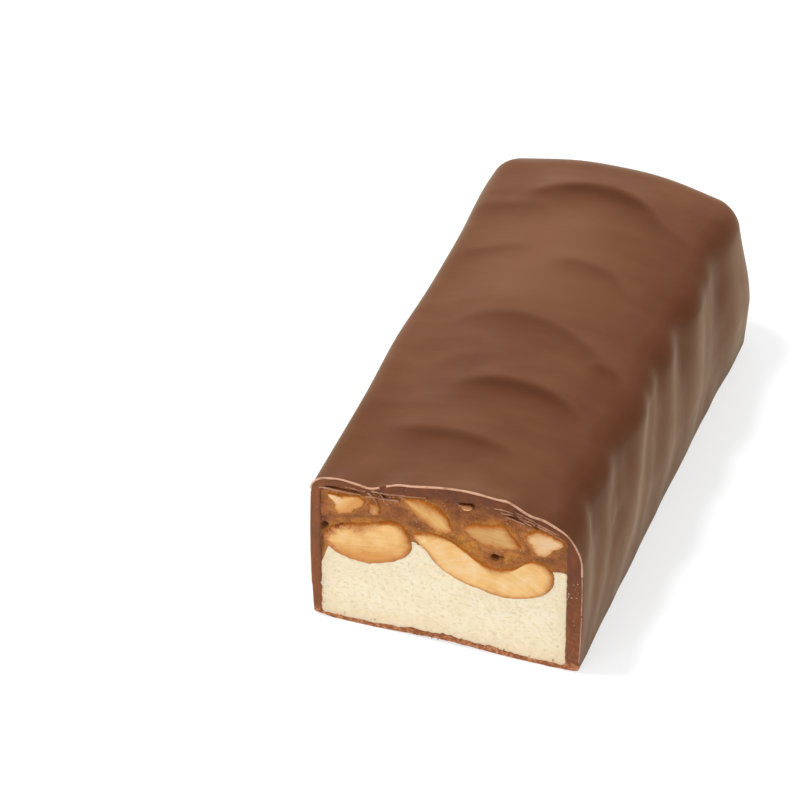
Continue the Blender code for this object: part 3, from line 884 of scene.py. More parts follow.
def run_tree(name, guide, tree, values):
    """Plain mesh object that the tree makes from a guide object, which is then removed."""
    modifier = guide.modifiers.new(tree.name, "NODES")
    modifier.node_group = tree
    keys = {item.name: item.identifier for item in tree.interface.items_tree if item.in_out == "INPUT"}
    for key, value in values.items():
        modifier[keys[key]] = value
    graph = bpy.context.evaluated_depsgraph_get()
    mesh = bpy.data.meshes.new_from_object(guide.evaluated_get(graph))
    mesh.name = name
    bpy.data.objects.remove(guide, do_unlink=True)
    return new_object(name, mesh)


# What each wave and each point of the coating brings to the waves' tree.
WAVE_FIELDS = {
    "crest_line": ("crest", "lean", "bow"),
    "crest_reach": ("apex", "middle", "half_span"),
    "crest_form": ("height", "near_run", "far_run"),
    "crest_kind": ("softness", "power", "side"),
}
POINT_FIELDS = ("across", "behind", "up", "top_share", "side_share", "wall", "hollow", "band")
# How the tree works out one wave at one point. Each row names a value, and gives the operation
# and what goes into it: numbers, the fields above, the tree's inputs and the rows before.
WAVE_STEPS = (
    # Place along the crest, which runs across the top or up a side.
    ("on_side", "ABSOLUTE", "side"),
    ("on_top", "SUBTRACT", 1.0, "on_side"),
    ("turned", "SUBTRACT", "up", "across"),
    ("place", "MULTIPLY_ADD", "turned", "on_side", "across"),
    # Distance past the crest, which leans and bows.
    ("off", "SUBTRACT", "place", "apex"),
    ("leaned", "MULTIPLY_ADD", "off", "lean", "crest"),
    ("square", "MULTIPLY", "off", "off"),
    ("bowed", "MULTIPLY", "square", "bow"),
    ("crest_here", "SUBTRACT", "leaned", "bowed"),
    ("past", "SUBTRACT", "behind", "crest_here"),
    # Fall of the wave to either side of its crest.
    ("is_past", "GREATER_THAN", "past", 0.0),
    ("longer", "SUBTRACT", "far_run", "near_run"),
    ("run", "MULTIPLY_ADD", "longer", "is_past", "near_run"),
    ("blunt", "MULTIPLY", "softness", "softness"),
    ("squares", "MULTIPLY_ADD", "past", "past", "blunt"),
    ("distance", "SQRT", "squares"),
    ("away", "SUBTRACT", "distance", "softness"),
    ("runs", "DIVIDE", "away", "run"),
    ("runs_away", "MAXIMUM", "runs", 0.0),
    ("fall", "POWER", "runs_away", "power"),
    # Fade along the crest, and the wave's height here.
    ("off_middle", "SUBTRACT", "place", "middle"),
    ("spread", "DIVIDE", "off_middle", "half_span"),
    ("spread_square", "MULTIPLY", "spread", "spread"),
    ("spread_fourth", "POWER", "spread_square", 2.0),
    ("loss", "ADD", "fall", "spread_fourth"),
    ("falling", "MULTIPLY", "loss", -1.0),
    ("fade", "EXPONENT", "falling"),
    ("own_height", "MULTIPLY", "fade", "height"),
    ("rise", "MULTIPLY", "own_height", "Strength"),
    # Move in metres: up on the top, outwards on a side.
    ("top_rise", "MULTIPLY", "rise", "top_share"),
    ("lift", "MULTIPLY", "top_rise", "on_top"),
    ("lift_metres", "MULTIPLY", "lift", MM),
    ("same_side", "MULTIPLY", "side_share", "side"),
    ("outward", "MAXIMUM", "same_side", 0.0),
    ("side_rise", "MULTIPLY", "rise", "outward"),
    ("push", "MULTIPLY", "side_rise", "side"),
    ("push_metres", "MULTIPLY", "push", MM),
    # Shares for the colour: painted shade in the hollow in front of a top wave, and painted sheen on the
    # folds of a wall.
    ("ahead", "MULTIPLY_ADD", "past", -0.7, 0.35),
    ("ahead_low", "MAXIMUM", "ahead", 0.0),
    ("in_front", "MINIMUM", "ahead_low", 1.0),
    ("shaded", "MULTIPLY", "in_front", "lift"),
    ("hollow_now", "ADD", "hollow", "shaded"),
    ("same_wall", "MULTIPLY", "wall", "side"),
    ("on_wall", "MAXIMUM", "same_wall", 0.0),
    ("band_now", "MULTIPLY_ADD", "rise", "on_wall", "band"),
)


def wave_tree():
    """Pushes the coating's points out: each pass of the repeat zone adds one wave.

    The waves are the points of another object, with their sizes in four vector attributes.
    """
    inputs = {"Waves": ("Object", None), "Strength": ("Float", 1.0)}
    tree, given = new_tree("Waves in the coating", inputs)
    waves = add(tree, "GeometryNodeObjectInfo", {"Object": given["Waves"]}).outputs["Geometry"]
    total = add(tree, "GeometryNodeAttributeDomainSize", {"Geometry": waves})
    begin = tree.nodes.new("GeometryNodeRepeatInput")
    end = tree.nodes.new("GeometryNodeRepeatOutput")
    begin.pair_with_output(end)
    join(tree, begin, {"Iterations": total.outputs["Point Count"], "Geometry": given["Geometry"]})
    known = {"Strength": given["Strength"]}
    for key, names in WAVE_FIELDS.items():
        field = add(tree, "GeometryNodeInputNamedAttribute", {"Name": key}, data_type="FLOAT_VECTOR")
        picked = {"Geometry": waves, "Value": field, "Index": begin.outputs["Iteration"]}
        one = add(tree, "GeometryNodeSampleIndex", picked, data_type="FLOAT_VECTOR")
        known.update(zip(names, add(tree, "ShaderNodeSeparateXYZ", {"Vector": one}).outputs))
    for key in POINT_FIELDS:
        known[key] = add(tree, "GeometryNodeInputNamedAttribute", {"Name": key}, data_type="FLOAT")
    for key, operation, *values in WAVE_STEPS:
        inputs = enumerate(known.get(value, value) for value in values)
        known[key] = add(tree, "ShaderNodeMath", inputs, operation=operation)
    shape = begin.outputs["Geometry"]
    # The hollow share carries painted shade, the band share painted sheen.
    for key in ("hollow", "band"):
        inputs = {"Geometry": shape, "Name": key, "Value": known[key + "_now"]}
        shape = add(tree, "GeometryNodeStoreNamedAttribute", inputs, data_type="FLOAT")
    move = add(tree, "ShaderNodeCombineXYZ", {"X": known["push_metres"], "Z": known["lift_metres"]})
    moved = add(tree, "GeometryNodeSetPosition", {"Geometry": shape, "Offset": move})
    join(tree, end, {"Geometry": moved})
    return end_tree(tree, end, given)


def wave_points(waves):
    """Guide object with one point for each wave."""
    values = {
        key: [[getattr(wave, name) for name in names] for wave in waves]
        for key, names in WAVE_FIELDS.items()
    }
    return new_mesh_object("waves", [(0.0, 0.0, 0.0)] * len(waves), [], values, recalculate=False)


def edge_tree():
    """Thin uneven bead along a chain of edges."""
    inputs = {
        "Width": ("Float", 0.0002),
        "Unevenness": ("Float", 0.5),
        "Lump spacing": ("Float", 0.001),
    }
    tree, given = new_tree("Bead along an edge", inputs)
    curve = add(tree, "GeometryNodeMeshToCurve", {"Mesh": given["Geometry"]})
    scale = add(tree, "ShaderNodeMath", {0: 1.0, 1: given["Lump spacing"]}, operation="DIVIDE")
    lumps = add(tree, "ShaderNodeTexNoise", {"Scale": scale, "Detail": 2.0})
    swing = {"Value": lumps, "From Min": 0.3, "From Max": 0.7, "To Min": given["Unevenness"], "To Max": 1.0}
    swing = add(tree, "ShaderNodeMapRange", swing)
    share = add(tree, "GeometryNodeInputNamedAttribute", {"Name": "share"}, data_type="FLOAT")
    thick = add(tree, "ShaderNodeMath", {0: swing, 1: given["Width"]}, operation="MULTIPLY")
    half = add(tree, "ShaderNodeMath", {0: thick, 1: share}, operation="MULTIPLY")
    ring = add(tree, "GeometryNodeCurvePrimitiveCircle", {"Resolution": 6, "Radius": 1.0})
    tube = {"Curve": curve, "Profile Curve": ring, "Fill Caps": True, "Scale": half}
    tube = add(tree, "GeometryNodeCurveToMesh", tube)
    return end_tree(tree, add(tree, "GeometryNodeSetShadeSmooth", {"Geometry": tube}), given)


def crumb_tree():
    """Small lumps scattered over a guide's faces, each roughened by noise."""
    inputs = {
        "Crumbs per square metre": ("Float", 1.0e6),
        "Smallest": ("Float", 0.00005),
        "Largest": ("Float", 0.0002),
        "Shape": ("Vector", (1.0, 1.0, 1.0)),
        "Turn": ("Float", 3.14),
        "Seed": ("Int", 1),
    }
    tree, given = new_tree("Scattered crumbs", inputs)
    spots = {"Mesh": given["Geometry"], "Density": given["Crumbs per square metre"], "Seed": given["Seed"]}
    spots = add(tree, "GeometryNodeDistributePointsOnFaces", spots)
    lump = add(tree, "GeometryNodeMeshIcoSphere", {"Radius": 0.5, "Subdivisions": 1})
    size = {"Min": given["Smallest"], "Max": given["Largest"], "Seed": given["Seed"]}
    size = add(tree, "FunctionNodeRandomValue", size, data_type="FLOAT")
    scale = add(tree, "ShaderNodeVectorMath", {0: given["Shape"], "Scale": size}, operation="SCALE")
    back = add(tree, "ShaderNodeMath", {0: given["Turn"], 1: -1.0}, operation="MULTIPLY")
    turn = {"Min": back, "Max": given["Turn"], "Seed": given["Seed"]}
    turn = add(tree, "FunctionNodeRandomValue", turn, data_type="FLOAT_VECTOR")
    placed = {"Points": spots, "Instance": lump, "Scale": scale, "Rotation": turn}
    placed = add(tree, "GeometryNodeInstanceOnPoints", placed)
    whole = add(tree, "GeometryNodeRealizeInstances", {"Geometry": placed})
    rough = add(tree, "ShaderNodeTexNoise", {"Scale": per_metre(CRUMB_GRAIN), "Detail": 1.0})
    centred = {0: rough.outputs["Color"], 1: (0.5, 0.5, 0.5)}
    centred = add(tree, "ShaderNodeVectorMath", centred, operation="SUBTRACT")
    torn = add(tree, "ShaderNodeVectorMath", {0: centred, "Scale": given["Smallest"]}, operation="SCALE")
    rough_crumbs = add(tree, "GeometryNodeSetPosition", {"Geometry": whole, "Offset": torn})
    return end_tree(tree, rough_crumbs, given)


def finished(piece, slot, *nodes):
    """The piece riding on the bar, in place of the solids that it stands for."""
    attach(piece, BODY)
    if nodes:
        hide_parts(*nodes)
    return piece


# ---------------------------------------------------------------- materials


def linear(code):
    """Linear colour of an sRGB hex value."""
    parts = [int(code[i : i + 2], 16) / 255.0 for i in (1, 3, 5)]
    return [p / 12.92 if p <= 0.04045 else ((p + 0.055) / 1.055) ** 2.4 for p in parts]


def rgba(colour):
    """Four channels of a grey or of a colour."""
    return (*colour, 1.0) if hasattr(colour, "__len__") else (colour, colour, colour, 1.0)


def per_metre(size):
    """Scale of a pattern whose features have a size in millimetres."""
    return 1.0 / (size * MM)


def new_material(name, shares=(), **surface):
    """Material with one Principled BSDF whose constant sockets are set by name.

    It comes with its tree, the place in the object, and the named shares of the piece's points.
    """
    material = bpy.data.materials.new(name)
    material.use_nodes = True
    tree = material.node_tree
    for key, value in surface.items():
        socket = key.replace("_", " ").title().replace("Ior", "IOR")
        join(tree, tree.nodes["Principled BSDF"], {socket: value})
    place = add(tree, "ShaderNodeTexCoord").outputs["Object"]
    read = [add(tree, "ShaderNodeAttribute", attribute_name=share).outputs["Fac"] for share in shares]
    return material, tree, place, read


def pattern(tree, place, size, detail=3.0, stretch=(1.0, 1.0, 1.0), rough=0.5):
    """Noise of one feature size, stretched along the axes where a stretch is under 1."""
    moved = add(tree, "ShaderNodeMapping", {"Vector": place, "Scale": stretch})
    noise_inputs = {"Vector": moved, "Scale": per_metre(size), "Detail": detail, "Roughness": rough}
    return add(tree, "ShaderNodeTexNoise", noise_inputs)


def painted(tree, base, *coats, blend="MIX"):
    """Colour of a surface: a base, and coats over it.

    Each coat is a colour, its share, and the stops of a ramp along that share where it has one.
    A colour is a socket or the name of a colour in the settings.
    """
    colours = bpy.context.scene.bar_colours
    tone = rgba(getattr(colours, base)) if isinstance(base, str) else base
    for colour, share, *stops in coats:
        colour = rgba(getattr(colours, colour)) if isinstance(colour, str) else colour
        share = add(tree, "ShaderNodeValToRGB", {"Fac": share}, stops) if stops else share
        inputs = {"Factor_Float": share, "A_Color": tone, "B_Color": colour}
        tone = add(tree, "ShaderNodeMix", inputs, data_type="RGBA", blend_type=blend)
    return tone


def surfaced(material, tone, gloss, *layers):
    """Gives a material its colour, its roughness and its bumps.

    The gloss is a pattern and the stops of a ramp along it. A layer of bumps is a pattern, its
    depth in millimetres and its strength.
    """
    tree = material.node_tree
    along, *stops = gloss
    inputs = {"Base Color": tone, "Roughness": add(tree, "ShaderNodeValToRGB", {"Fac": along}, stops)}
    for height, depth, strength in layers:
        below = {"Normal": inputs["Normal"]} if "Normal" in inputs else {}
        bumps = {"Height": height, "Distance": depth * MM, "Strength": strength, **below}
        inputs["Normal"] = add(tree, "ShaderNodeBump", bumps)
    join(tree, tree.nodes["Principled BSDF"], inputs)
    return material


def milk_chocolate_skin():
    """Milk chocolate that set in the air after enrobing: a satin skin with faint flow streaks,
    soft cloudy tone and a grazing sheen. Its colour also holds painted shade in the hollow in front
    of each wave, in the dips of the side folds, over the right shoulder and towards the foot, and a
    painted sheen on the folds and walls of the sides."""
    material, tree, place, (haze, hollow, wall, band, shoulder_shade) = new_material(
        "milk_chocolate_skin",
        ("haze", "hollow", "wall", "band", "shoulder_shade"),
        ior=1.47,
        specular_ior_level=0.035,
        specular_tint=(1.0, 0.82, 0.38, 1.0),
        sheen_weight=0.12,
        sheen_roughness=0.35,
        sheen_tint=(1.0, 0.88, 0.36, 1.0),
        subsurface_weight=0.10,
        subsurface_scale=0.0006,
        subsurface_radius=(1.0, 0.45, 0.2),
    )
    clouds = pattern(tree, place, 14.0, 3.0, (1.0, 0.6, 1.0))
    streaks = pattern(tree, place, 2.2, 4.0, (0.35, 1.0, 0.6))
    wall = add(tree, "ShaderNodeMath", {0: wall}, operation="ABSOLUTE")
    # Painted sheen on the walls and on their folds.
    fold_sheen = add(tree, "ShaderNodeMath", {0: wall, 1: 0.05, 2: band}, operation="MULTIPLY_ADD")
    # Painted shade in the dips of the side folds.
    dip = add(tree, "ShaderNodeMath", {0: band, 1: -1.0}, operation="MULTIPLY")
    # Height above the table, for painted shade towards the foot.
    height = add(tree, "ShaderNodeSeparateXYZ", {0: place}).outputs["Z"]
    tone = painted(
        tree,
        "chocolate",
        ("chocolate_light", clouds, (0.35, 0.0), (0.65, 1.0)),
        ("chocolate_dark", streaks, (0.3, 0.0), (0.8, 0.45)),
        ("chocolate_haze", haze),
        # Painted light: shade in front of each wave, sheen on the walls and folds, shade in the dips, over
        # the right shoulder and towards the foot.
        ("chocolate_hollow", hollow, (0.05, 0.0), (0.55, 0.75)),
        ("chocolate_band", fold_sheen, (0.05, 0.0), (0.80, 0.26)),
        ("chocolate_hollow", dip, (0.03, 0.0), (0.30, 0.85)),
        ("chocolate_shoulder", shoulder_shade),
        ("chocolate_hollow", height, (0.001, 0.42), (0.0075, 0.0)),
    )
    return surfaced(
        material,
        tone,
        (streaks, (0.3, 0.36), (0.75, 0.46)),
        (pattern(tree, place, 5.0, 2.0, (0.5, 1.0, 1.0)), 0.10, 0.5),
        (pattern(tree, place, 1.6, 3.0, (0.25, 1.0, 0.5)), 0.03, 0.5),
        (pattern(tree, place, 0.5, 3.0), 0.008, 0.5),
    )


def milk_chocolate_cut():
    """Milk chocolate torn by the knife: redder and duller than the skin, with fat-pale smears
    and grains of cocoa."""
    material, tree, place, (film, dark) = new_material(
        "milk_chocolate_cut",
        ("film", "tone"),
        ior=1.47,
        specular_ior_level=0.25,
        subsurface_weight=0.15,
        subsurface_scale=0.0006,
        subsurface_radius=(1.0, 0.45, 0.2),
    )
    smears = pattern(tree, place, 1.2, 4.0, (1.0, 1.0, 0.5))
    specks = pattern(tree, place, 0.28, 2.0)
    crumbs = pattern(tree, place, 0.35, 3.0)
    crumbs = add(tree, "ShaderNodeValToRGB", {"Fac": crumbs}, ((0.47, 0.0), (0.60, 1.0)))
    crumbs = add(tree, "ShaderNodeMath", {0: crumbs, 1: film}, operation="MULTIPLY")
    deep = add(tree, "ShaderNodeMath", {0: dark, 1: film}, operation="SUBTRACT", use_clamp=True)
    tone = painted(
        tree,
        "cut_chocolate",
        ("cut_chocolate_red", smears, (0.35, 0.0), (0.7, 1.0)),
        ("cut_chocolate_red", film),
        ("film_crumb", crumbs),
    )
    tone = painted(tree, tone, ("cut_chocolate_deep", deep), blend="MULTIPLY")
    tone = painted(tree, tone, ("rim", specks, (0.70, 0.0), (0.76, 0.5)))
    gloss = (smears, (0.3, 0.42), (0.8, 0.65))
    return surfaced(material, tone, gloss, (pattern(tree, place, 0.45, 4.0), 0.06, 0.7))


def cut_edge_smear(name, pale):
    """Chocolate drawn into a thin lip by the knife: pale and pinkish as the fat comes up, and lighter still
    with a painted highlight along the edge.
    """
    material, tree, place, _ = new_material(name, ior=1.47, subsurface_weight=0.1)
    smears = pattern(tree, place, 0.9, 3.0)
    tone = painted(tree, "cut_chocolate_red", (pale, smears, (0.25, 0.25), (0.55, 1.0)))
    gloss = (pattern(tree, place, 0.5), (0.3, 0.3), (0.7, 0.5))
    return surfaced(material, tone, gloss, (pattern(tree, place, 0.25, 2.0), 0.02, 0.5))


def whipped_nougat():
    """Whipped nougat: matt cream foam full of pin-prick air cells, drawn out across the cut."""
    material, tree, place, (border,) = new_material(
        "whipped_nougat",
        ("border",),
        ior=1.45,
        specular_ior_level=0.2,
        subsurface_weight=0.35,
        subsurface_scale=0.0008,
        subsurface_radius=(1.0, 0.8, 0.55),
    )
    clouds = pattern(tree, place, 3.0, 4.0)
    cells = pattern(tree, place, 0.34, 3.0, (0.7, 1.0, 1.0), 0.6)
    # Small dark pits: painted shade where the foam is open.
    pits = pattern(tree, place, 0.5, 2.0)
    tone = painted(
        tree,
        "nougat",
        ("nougat_light", clouds, (0.3, 0.0), (0.7, 1.0)),
        ("nougat_border", border),
        ("nougat_shade", cells, (0.35, 0.75), (0.48, 0.0)),
        ("nougat_pore", pits, (0.26, 0.6), (0.31, 0.0)),
    )
    gloss = (cells, (0.3, 0.75), (0.7, 0.9))
    return surfaced(material, tone, gloss, (cells, 0.10, 0.6), (pattern(tree, place, 0.16, 2.0), 0.03, 0.5))


def soft_caramel():
    """Soft milk caramel: glossy and half clear, darker where it is deep and golden where it is
    thin against a nut, with painted shade in its pits and gaps and under the roof."""
    material, tree, place, (golden, deep) = new_material(
        "soft_caramel",
        ("golden", "deep"),
        ior=1.49,
        specular_ior_level=0.16,
        subsurface_weight=0.35,
        subsurface_scale=0.001,
        subsurface_radius=(1.0, 0.5, 0.2),
        coat_weight=0.05,
        coat_roughness=0.18,
    )
    clouds = pattern(tree, place, 1.6, 5.0, (0.7, 1.0, 1.0), 0.6)
    patches = pattern(tree, place, 0.9, 4.0, (1.0, 1.0, 1.3), 0.65)
    grit = pattern(tree, place, 0.26, 3.0, rough=0.65)
    grains = pattern(tree, place, 0.20, 2.0)
    tone = painted(
        tree,
        "caramel",
        ("caramel_light", clouds, (0.40, 0.0), (0.60, 1.0)),
        ("caramel_gold", golden),
        ("caramel_brown", patches, (0.50, 0.0), (0.66, 0.55)),
        ("caramel_dark", deep),
        ("caramel_brown", grit, (0.36, 0.55), (0.48, 0.0)),
        ("peanut_pale", grains, (0.66, 0.0), (0.74, 0.45)),
    )
    return surfaced(
        material,
        tone,
        (clouds, (0.3, 0.28), (0.75, 0.5)),
        (pattern(tree, place, 0.9, 4.0), 0.10, 0.6),
        (pattern(tree, place, 0.25, 3.0), 0.03, 0.5),
    )


def roasted_peanut():
    """Roasted blanched peanut, sliced: waxy cream in the middle, orange towards its oily edge,
    with fine fibres along its length."""
    material, tree, place, (roast, edge, tinted, skin) = new_material(
        "roasted_peanut",
        ("roast", "edge", "tinted", "skin"),
        ior=1.47,
        specular_ior_level=0.3,
        subsurface_weight=0.30,
        subsurface_scale=0.0006,
        subsurface_radius=(1.0, 0.55, 0.25),
        coat_weight=0.06,
        coat_roughness=0.25,
    )
    along_nut = add(tree, "ShaderNodeAttribute", attribute_name="fibre").outputs["Vector"]
    tint = add(tree, "ShaderNodeAttribute", attribute_name="tint").outputs["Color"]
    fibres = pattern(tree, along_nut, 0.45, 4.0, (0.10, 1.0, 1.0), 0.6)
    clouds = pattern(tree, place, 1.4, 4.0)
    speckle = pattern(tree, place, 0.30, 3.0, rough=0.6)
    for spots, *stops in ((clouds, (0.3, 0.0), (0.7, 0.3)), (fibres, (0.3, 0.0), (0.75, 0.22))):
        more = add(tree, "ShaderNodeValToRGB", {"Fac": spots}, stops)
        roast = add(tree, "ShaderNodeMath", {0: more, 1: roast}, operation="ADD")
    colours = bpy.context.scene.bar_colours
    roasts = ((0.15, colours.peanut_pale), (0.95, colours.peanut_roast), (0.55, colours.peanut))
    flecks = add(tree, "ShaderNodeMath", {0: speckle, 1: 1.4, 2: 0.3}, operation="MULTIPLY_ADD")
    worn = add(tree, "ShaderNodeMath", {0: flecks, 1: edge}, operation="MULTIPLY")
    scraps = add(tree, "ShaderNodeValToRGB", {"Fac": speckle}, ((0.42, 0.35), (0.58, 1.0)))
    papery = add(tree, "ShaderNodeMath", {0: skin, 1: scraps}, operation="MULTIPLY")
    charred = add(tree, "ShaderNodeMath", {0: speckle, 1: skin}, operation="MULTIPLY")
    tone = painted(
        tree,
        add(tree, "ShaderNodeValToRGB", {"Fac": roast}, roasts),
        (tint, tinted),
        ("peanut_edge", worn, (0.12, 0.0), (1.0, 1.0)),
        ("peanut_skin", papery),
        ("peanut_char", charred, (0.50, 0.0), (0.62, 1.0)),
    )
    gloss = (fibres, (0.3, 0.38), (0.7, 0.55))
    grit = pattern(tree, place, 0.22, 3.0)
    return surfaced(material, tone, gloss, (fibres, 0.05, 0.5), (grit, 0.02, 0.5))


def white_table():
    """Matt white table lit from below as well, so that it stays pale and takes a faint shadow."""
    material, tree, place, _ = new_material(
        "white_table",
        roughness=0.9,
        specular_ior_level=0.0,
        emission_color=(0.985, 1.0, 1.01, 1.0),
        emission_strength=0.488,
    )
    faint = pattern(tree, place, 60.0, 2.0)
    faint = add(tree, "ShaderNodeValToRGB", {"Fac": faint}, ((0.3, 0.56), (0.7, 0.58)))
    join(tree, tree.nodes["Principled BSDF"], {"Base Color": faint})
    return material


# ---------------------------------------------------------------- settings


def colour_property(name, description, code):
    return FloatVectorProperty(
        name=name, description=description, default=linear(code), subtype="COLOR", min=0.0, max=1.0
    )


def length_property(name, description, size):
    return FloatProperty(name=name, description=description, default=size * MM, min=0.0, unit="LENGTH")


class BarSizes(bpy.types.PropertyGroup):
    """Sizes of the fine forms."""

    wave_strength: FloatProperty(
        name="Wave strength",
        description="How high the waves in the coating stand, where 1 is as measured",
        default=1.0,
        min=0.0,
        max=3.0,
    )
    lip_width: length_property("Lip width", "Width of the pale lip along the cut edge", 0.25)
    nougat_relief: length_property("Nougat relief", "Depth of the roughness of the cut nougat", 0.06)
    caramel_relief: length_property("Caramel relief", "Depth of the hollows in the cut caramel", 0.16)
    nut_proud: length_property("Nut height", "How far the nuts stand out of the cut face", 0.16)
    crumb_size: length_property("Crumb size", "Size of the largest crumbs on the cut face", 0.26)
    pore_count: IntProperty(
        name="Pores", description="Number of open air cells in the cut nougat", default=640, min=0
    )


class BarColours(bpy.types.PropertyGroup):
    """Colours of the finishes."""

    chocolate: colour_property("Chocolate", "Milk chocolate skin", "#6E4630")
    chocolate_light: colour_property("Light chocolate", "Paler clouds in the skin", "#79503A")
    chocolate_dark: colour_property("Dark chocolate", "Darker streaks in the skin", "#5E3826")
    chocolate_haze: colour_property("Hazy chocolate", "Pale haze towards the back", "#8A6048")
    # Painted shade in front of each top wave, in the dips of the side folds and towards the foot.
    chocolate_hollow: colour_property("Hollow chocolate", "Skin in front of a wave", "#522F1F")
    # Painted sheen on the folds and walls of the sides, where they catch light at a grazing angle.
    chocolate_band: colour_property("Pale chocolate", "Dusty folds down the sides", "#98785A")
    # Painted shade over the right shoulder, which turns away from the light.
    chocolate_shoulder: colour_property("Shoulder chocolate", "Thin skin over the right edge", "#562F1E")
    cut_chocolate: colour_property("Cut chocolate", "Coating where the knife went", "#7A4829")
    cut_chocolate_red: colour_property("Red chocolate", "Redder smears in the cut coating", "#92552F")
    cut_chocolate_deep: colour_property("Roof chocolate", "Tint of the roof and right wall", "#DDCFCB")
    film_crumb: colour_property("Film crumb", "Orange crumbs of the film", "#C4845C")
    flake: colour_property("Flake", "Torn flakes under the roof", "#B98464")
    # Partly paler scraped chocolate, partly a painted highlight along the lip.
    rim: colour_property("Lip", "Pale lip along the cut edge", "#E0AC8A")
    nougat: colour_property("Nougat", "Whipped nougat", "#F4E4C4")
    nougat_light: colour_property("Light nougat", "Paler clouds in the nougat", "#FAEDD2")
    nougat_shade: colour_property("Nougat shade", "Shade in the air cells", "#E8D4A8")
    nougat_border: colour_property("Nougat border", "Nougat next to the coating", "#EBD5B4")
    # Painted shade in the small pits of the cut nougat.
    nougat_pore: colour_property("Nougat pore", "Floor of the open pores", "#DCC498")
    caramel: colour_property("Caramel", "Soft caramel", "#925024")
    caramel_light: colour_property("Light caramel", "Paler clouds in the caramel", "#B06D38")
    caramel_gold: colour_property("Golden caramel", "Thin caramel against a nut", "#D08A30")
    caramel_brown: colour_property("Brown caramel", "Deeper patches in the caramel", "#74401C")
    # Deep caramel, and painted shade in the pits and gaps and under the roof.
    caramel_dark: colour_property("Dark caramel", "Deep caramel and gaps", "#4A2412")
    peanut_pale: colour_property("Pale peanut", "Least roasted peanut", "#F6DCB4")
    peanut: colour_property("Peanut", "Roasted peanut", "#F0C07A")
    peanut_roast: colour_property("Roasted peanut", "Most roasted peanut", "#DC9A50")
    peanut_edge: colour_property("Peanut edge", "Oily rim of a nut", "#B2641C")
    peanut_skin: colour_property("Peanut skin", "Papery skin left on a nut", "#A85A20")
    peanut_char: colour_property("Charred skin", "Darkest flecks of the skin", "#5A2A10")


# ---------------------------------------------------------------- operators


# Where the camera stands: degrees round from the cut's front and above the table, and
# millimetres. A 4705 pixel focal length over an 800 pixel frame is a 211.7 mm lens.
CAMERA_AZIMUTH = 19.87
CAMERA_ELEVATION = 37.46
CAMERA_ROLL = -0.36
CAMERA_DISTANCE = 523.8
CAMERA_AIM = (-14.82, -5.48, 9.4)
CAMERA_CLIP = (0.05, 20.0)
SENSOR = 36.0
FOCAL_PIXELS = 4705.0
FRAME_PIXELS = 800.0
TABLE_HALF = 2000.0
TABLE_HEIGHT = -0.02


class Softbox(NamedTuple):
    """A square area light, placed by degrees round from the cut's front and above the table."""

    azimuth: float
    elevation: float
    distance: float
    size: float
    watts: float
    casts_shadow: bool


# The high left light throws the bar's only clear shadow. The light behind grazes the waves.
SOFTBOXES = {
    "high_left_light": Softbox(-72.0, 70.0, 0.8, 0.12, 2.7, True),
    "back_light": Softbox(158.0, 42.0, 0.8, 0.40, 3.5, False),
    "front_fill": Softbox(-20.0, 28.0, 0.9, 0.60, 2.6, True),
}
# The room is dim, and a pale backdrop glows low down behind the bar on the left.
ROOM_GLOW = 0.30
BACKDROP_GLOW = 1.6
BACKDROP_FOCUS = 6.0
BACKDROP = (-0.30, 0.95, 0.05)


def direction(azimuth, elevation):
    """Unit vector towards a place, from its degrees round and above the table."""
    a, e = math.radians(azimuth), math.radians(elevation)
    return Vector((math.sin(a) * math.cos(e), -math.cos(a) * math.cos(e), math.sin(e)))


def set_camera(scene):
    """Camera at the photograph's viewing angle."""
    back = direction(CAMERA_AZIMUTH, CAMERA_ELEVATION)
    right = Vector((-back.y, back.x, 0.0)).normalized()
    up = back.cross(right)
    roll = math.radians(CAMERA_ROLL)
    turned_right = math.cos(roll) * right + math.sin(roll) * up
    turned_up = math.cos(roll) * up - math.sin(roll) * right
    place = (Vector(CAMERA_AIM) + back * CAMERA_DISTANCE) * MM
    camera = bpy.data.cameras.new("camera")
    camera.sensor_width = SENSOR
    camera.lens = FOCAL_PIXELS * SENSOR / FRAME_PIXELS
    camera.clip_start, camera.clip_end = CAMERA_CLIP
    scene.camera = new_object("camera", camera)
    view = Matrix((turned_right, turned_up, back)).transposed().to_4x4()
    scene.camera.matrix_world = Matrix.Translation(place) @ view


def hang_softbox(name, box):
    """One light that points at the bar and shows neither itself nor its reflection."""
    light = bpy.data.lights.new(name, "AREA")
    light.shape = "SQUARE"
    light.size = box.size
    light.energy = box.watts
    light.use_shadow = box.casts_shadow
    lamp = new_object(name, light)
    lamp.visible_camera = False
    lamp.visible_glossy = False
    toward = direction(box.azimuth, box.elevation)
    turn = toward.to_track_quat("Z", "Y").to_matrix().to_4x4()
    lamp.matrix_world = Matrix.Translation(toward * box.distance) @ turn


def light_room(scene):
    """Dim white room with a brighter backdrop."""
    scene.world = bpy.data.worlds.new("studio")
    scene.world.use_nodes = True
    tree = scene.world.node_tree
    toward = add(tree, "ShaderNodeTexCoord").outputs["Generated"]
    facing = add(tree, "ShaderNodeVectorMath", {0: toward, 1: BACKDROP}, operation="DOT_PRODUCT")
    ahead = add(tree, "ShaderNodeMath", {0: facing.outputs["Value"], 1: 0.0}, operation="MAXIMUM")
    narrow = add(tree, "ShaderNodeMath", {0: ahead, 1: BACKDROP_FOCUS}, operation="POWER")
    glow = {0: narrow, 1: BACKDROP_GLOW, 2: ROOM_GLOW}
    glow = add(tree, "ShaderNodeMath", glow, operation="MULTIPLY_ADD")
    join(tree, tree.nodes["Background"], {"Strength": glow, "Color": rgba(1.0)})


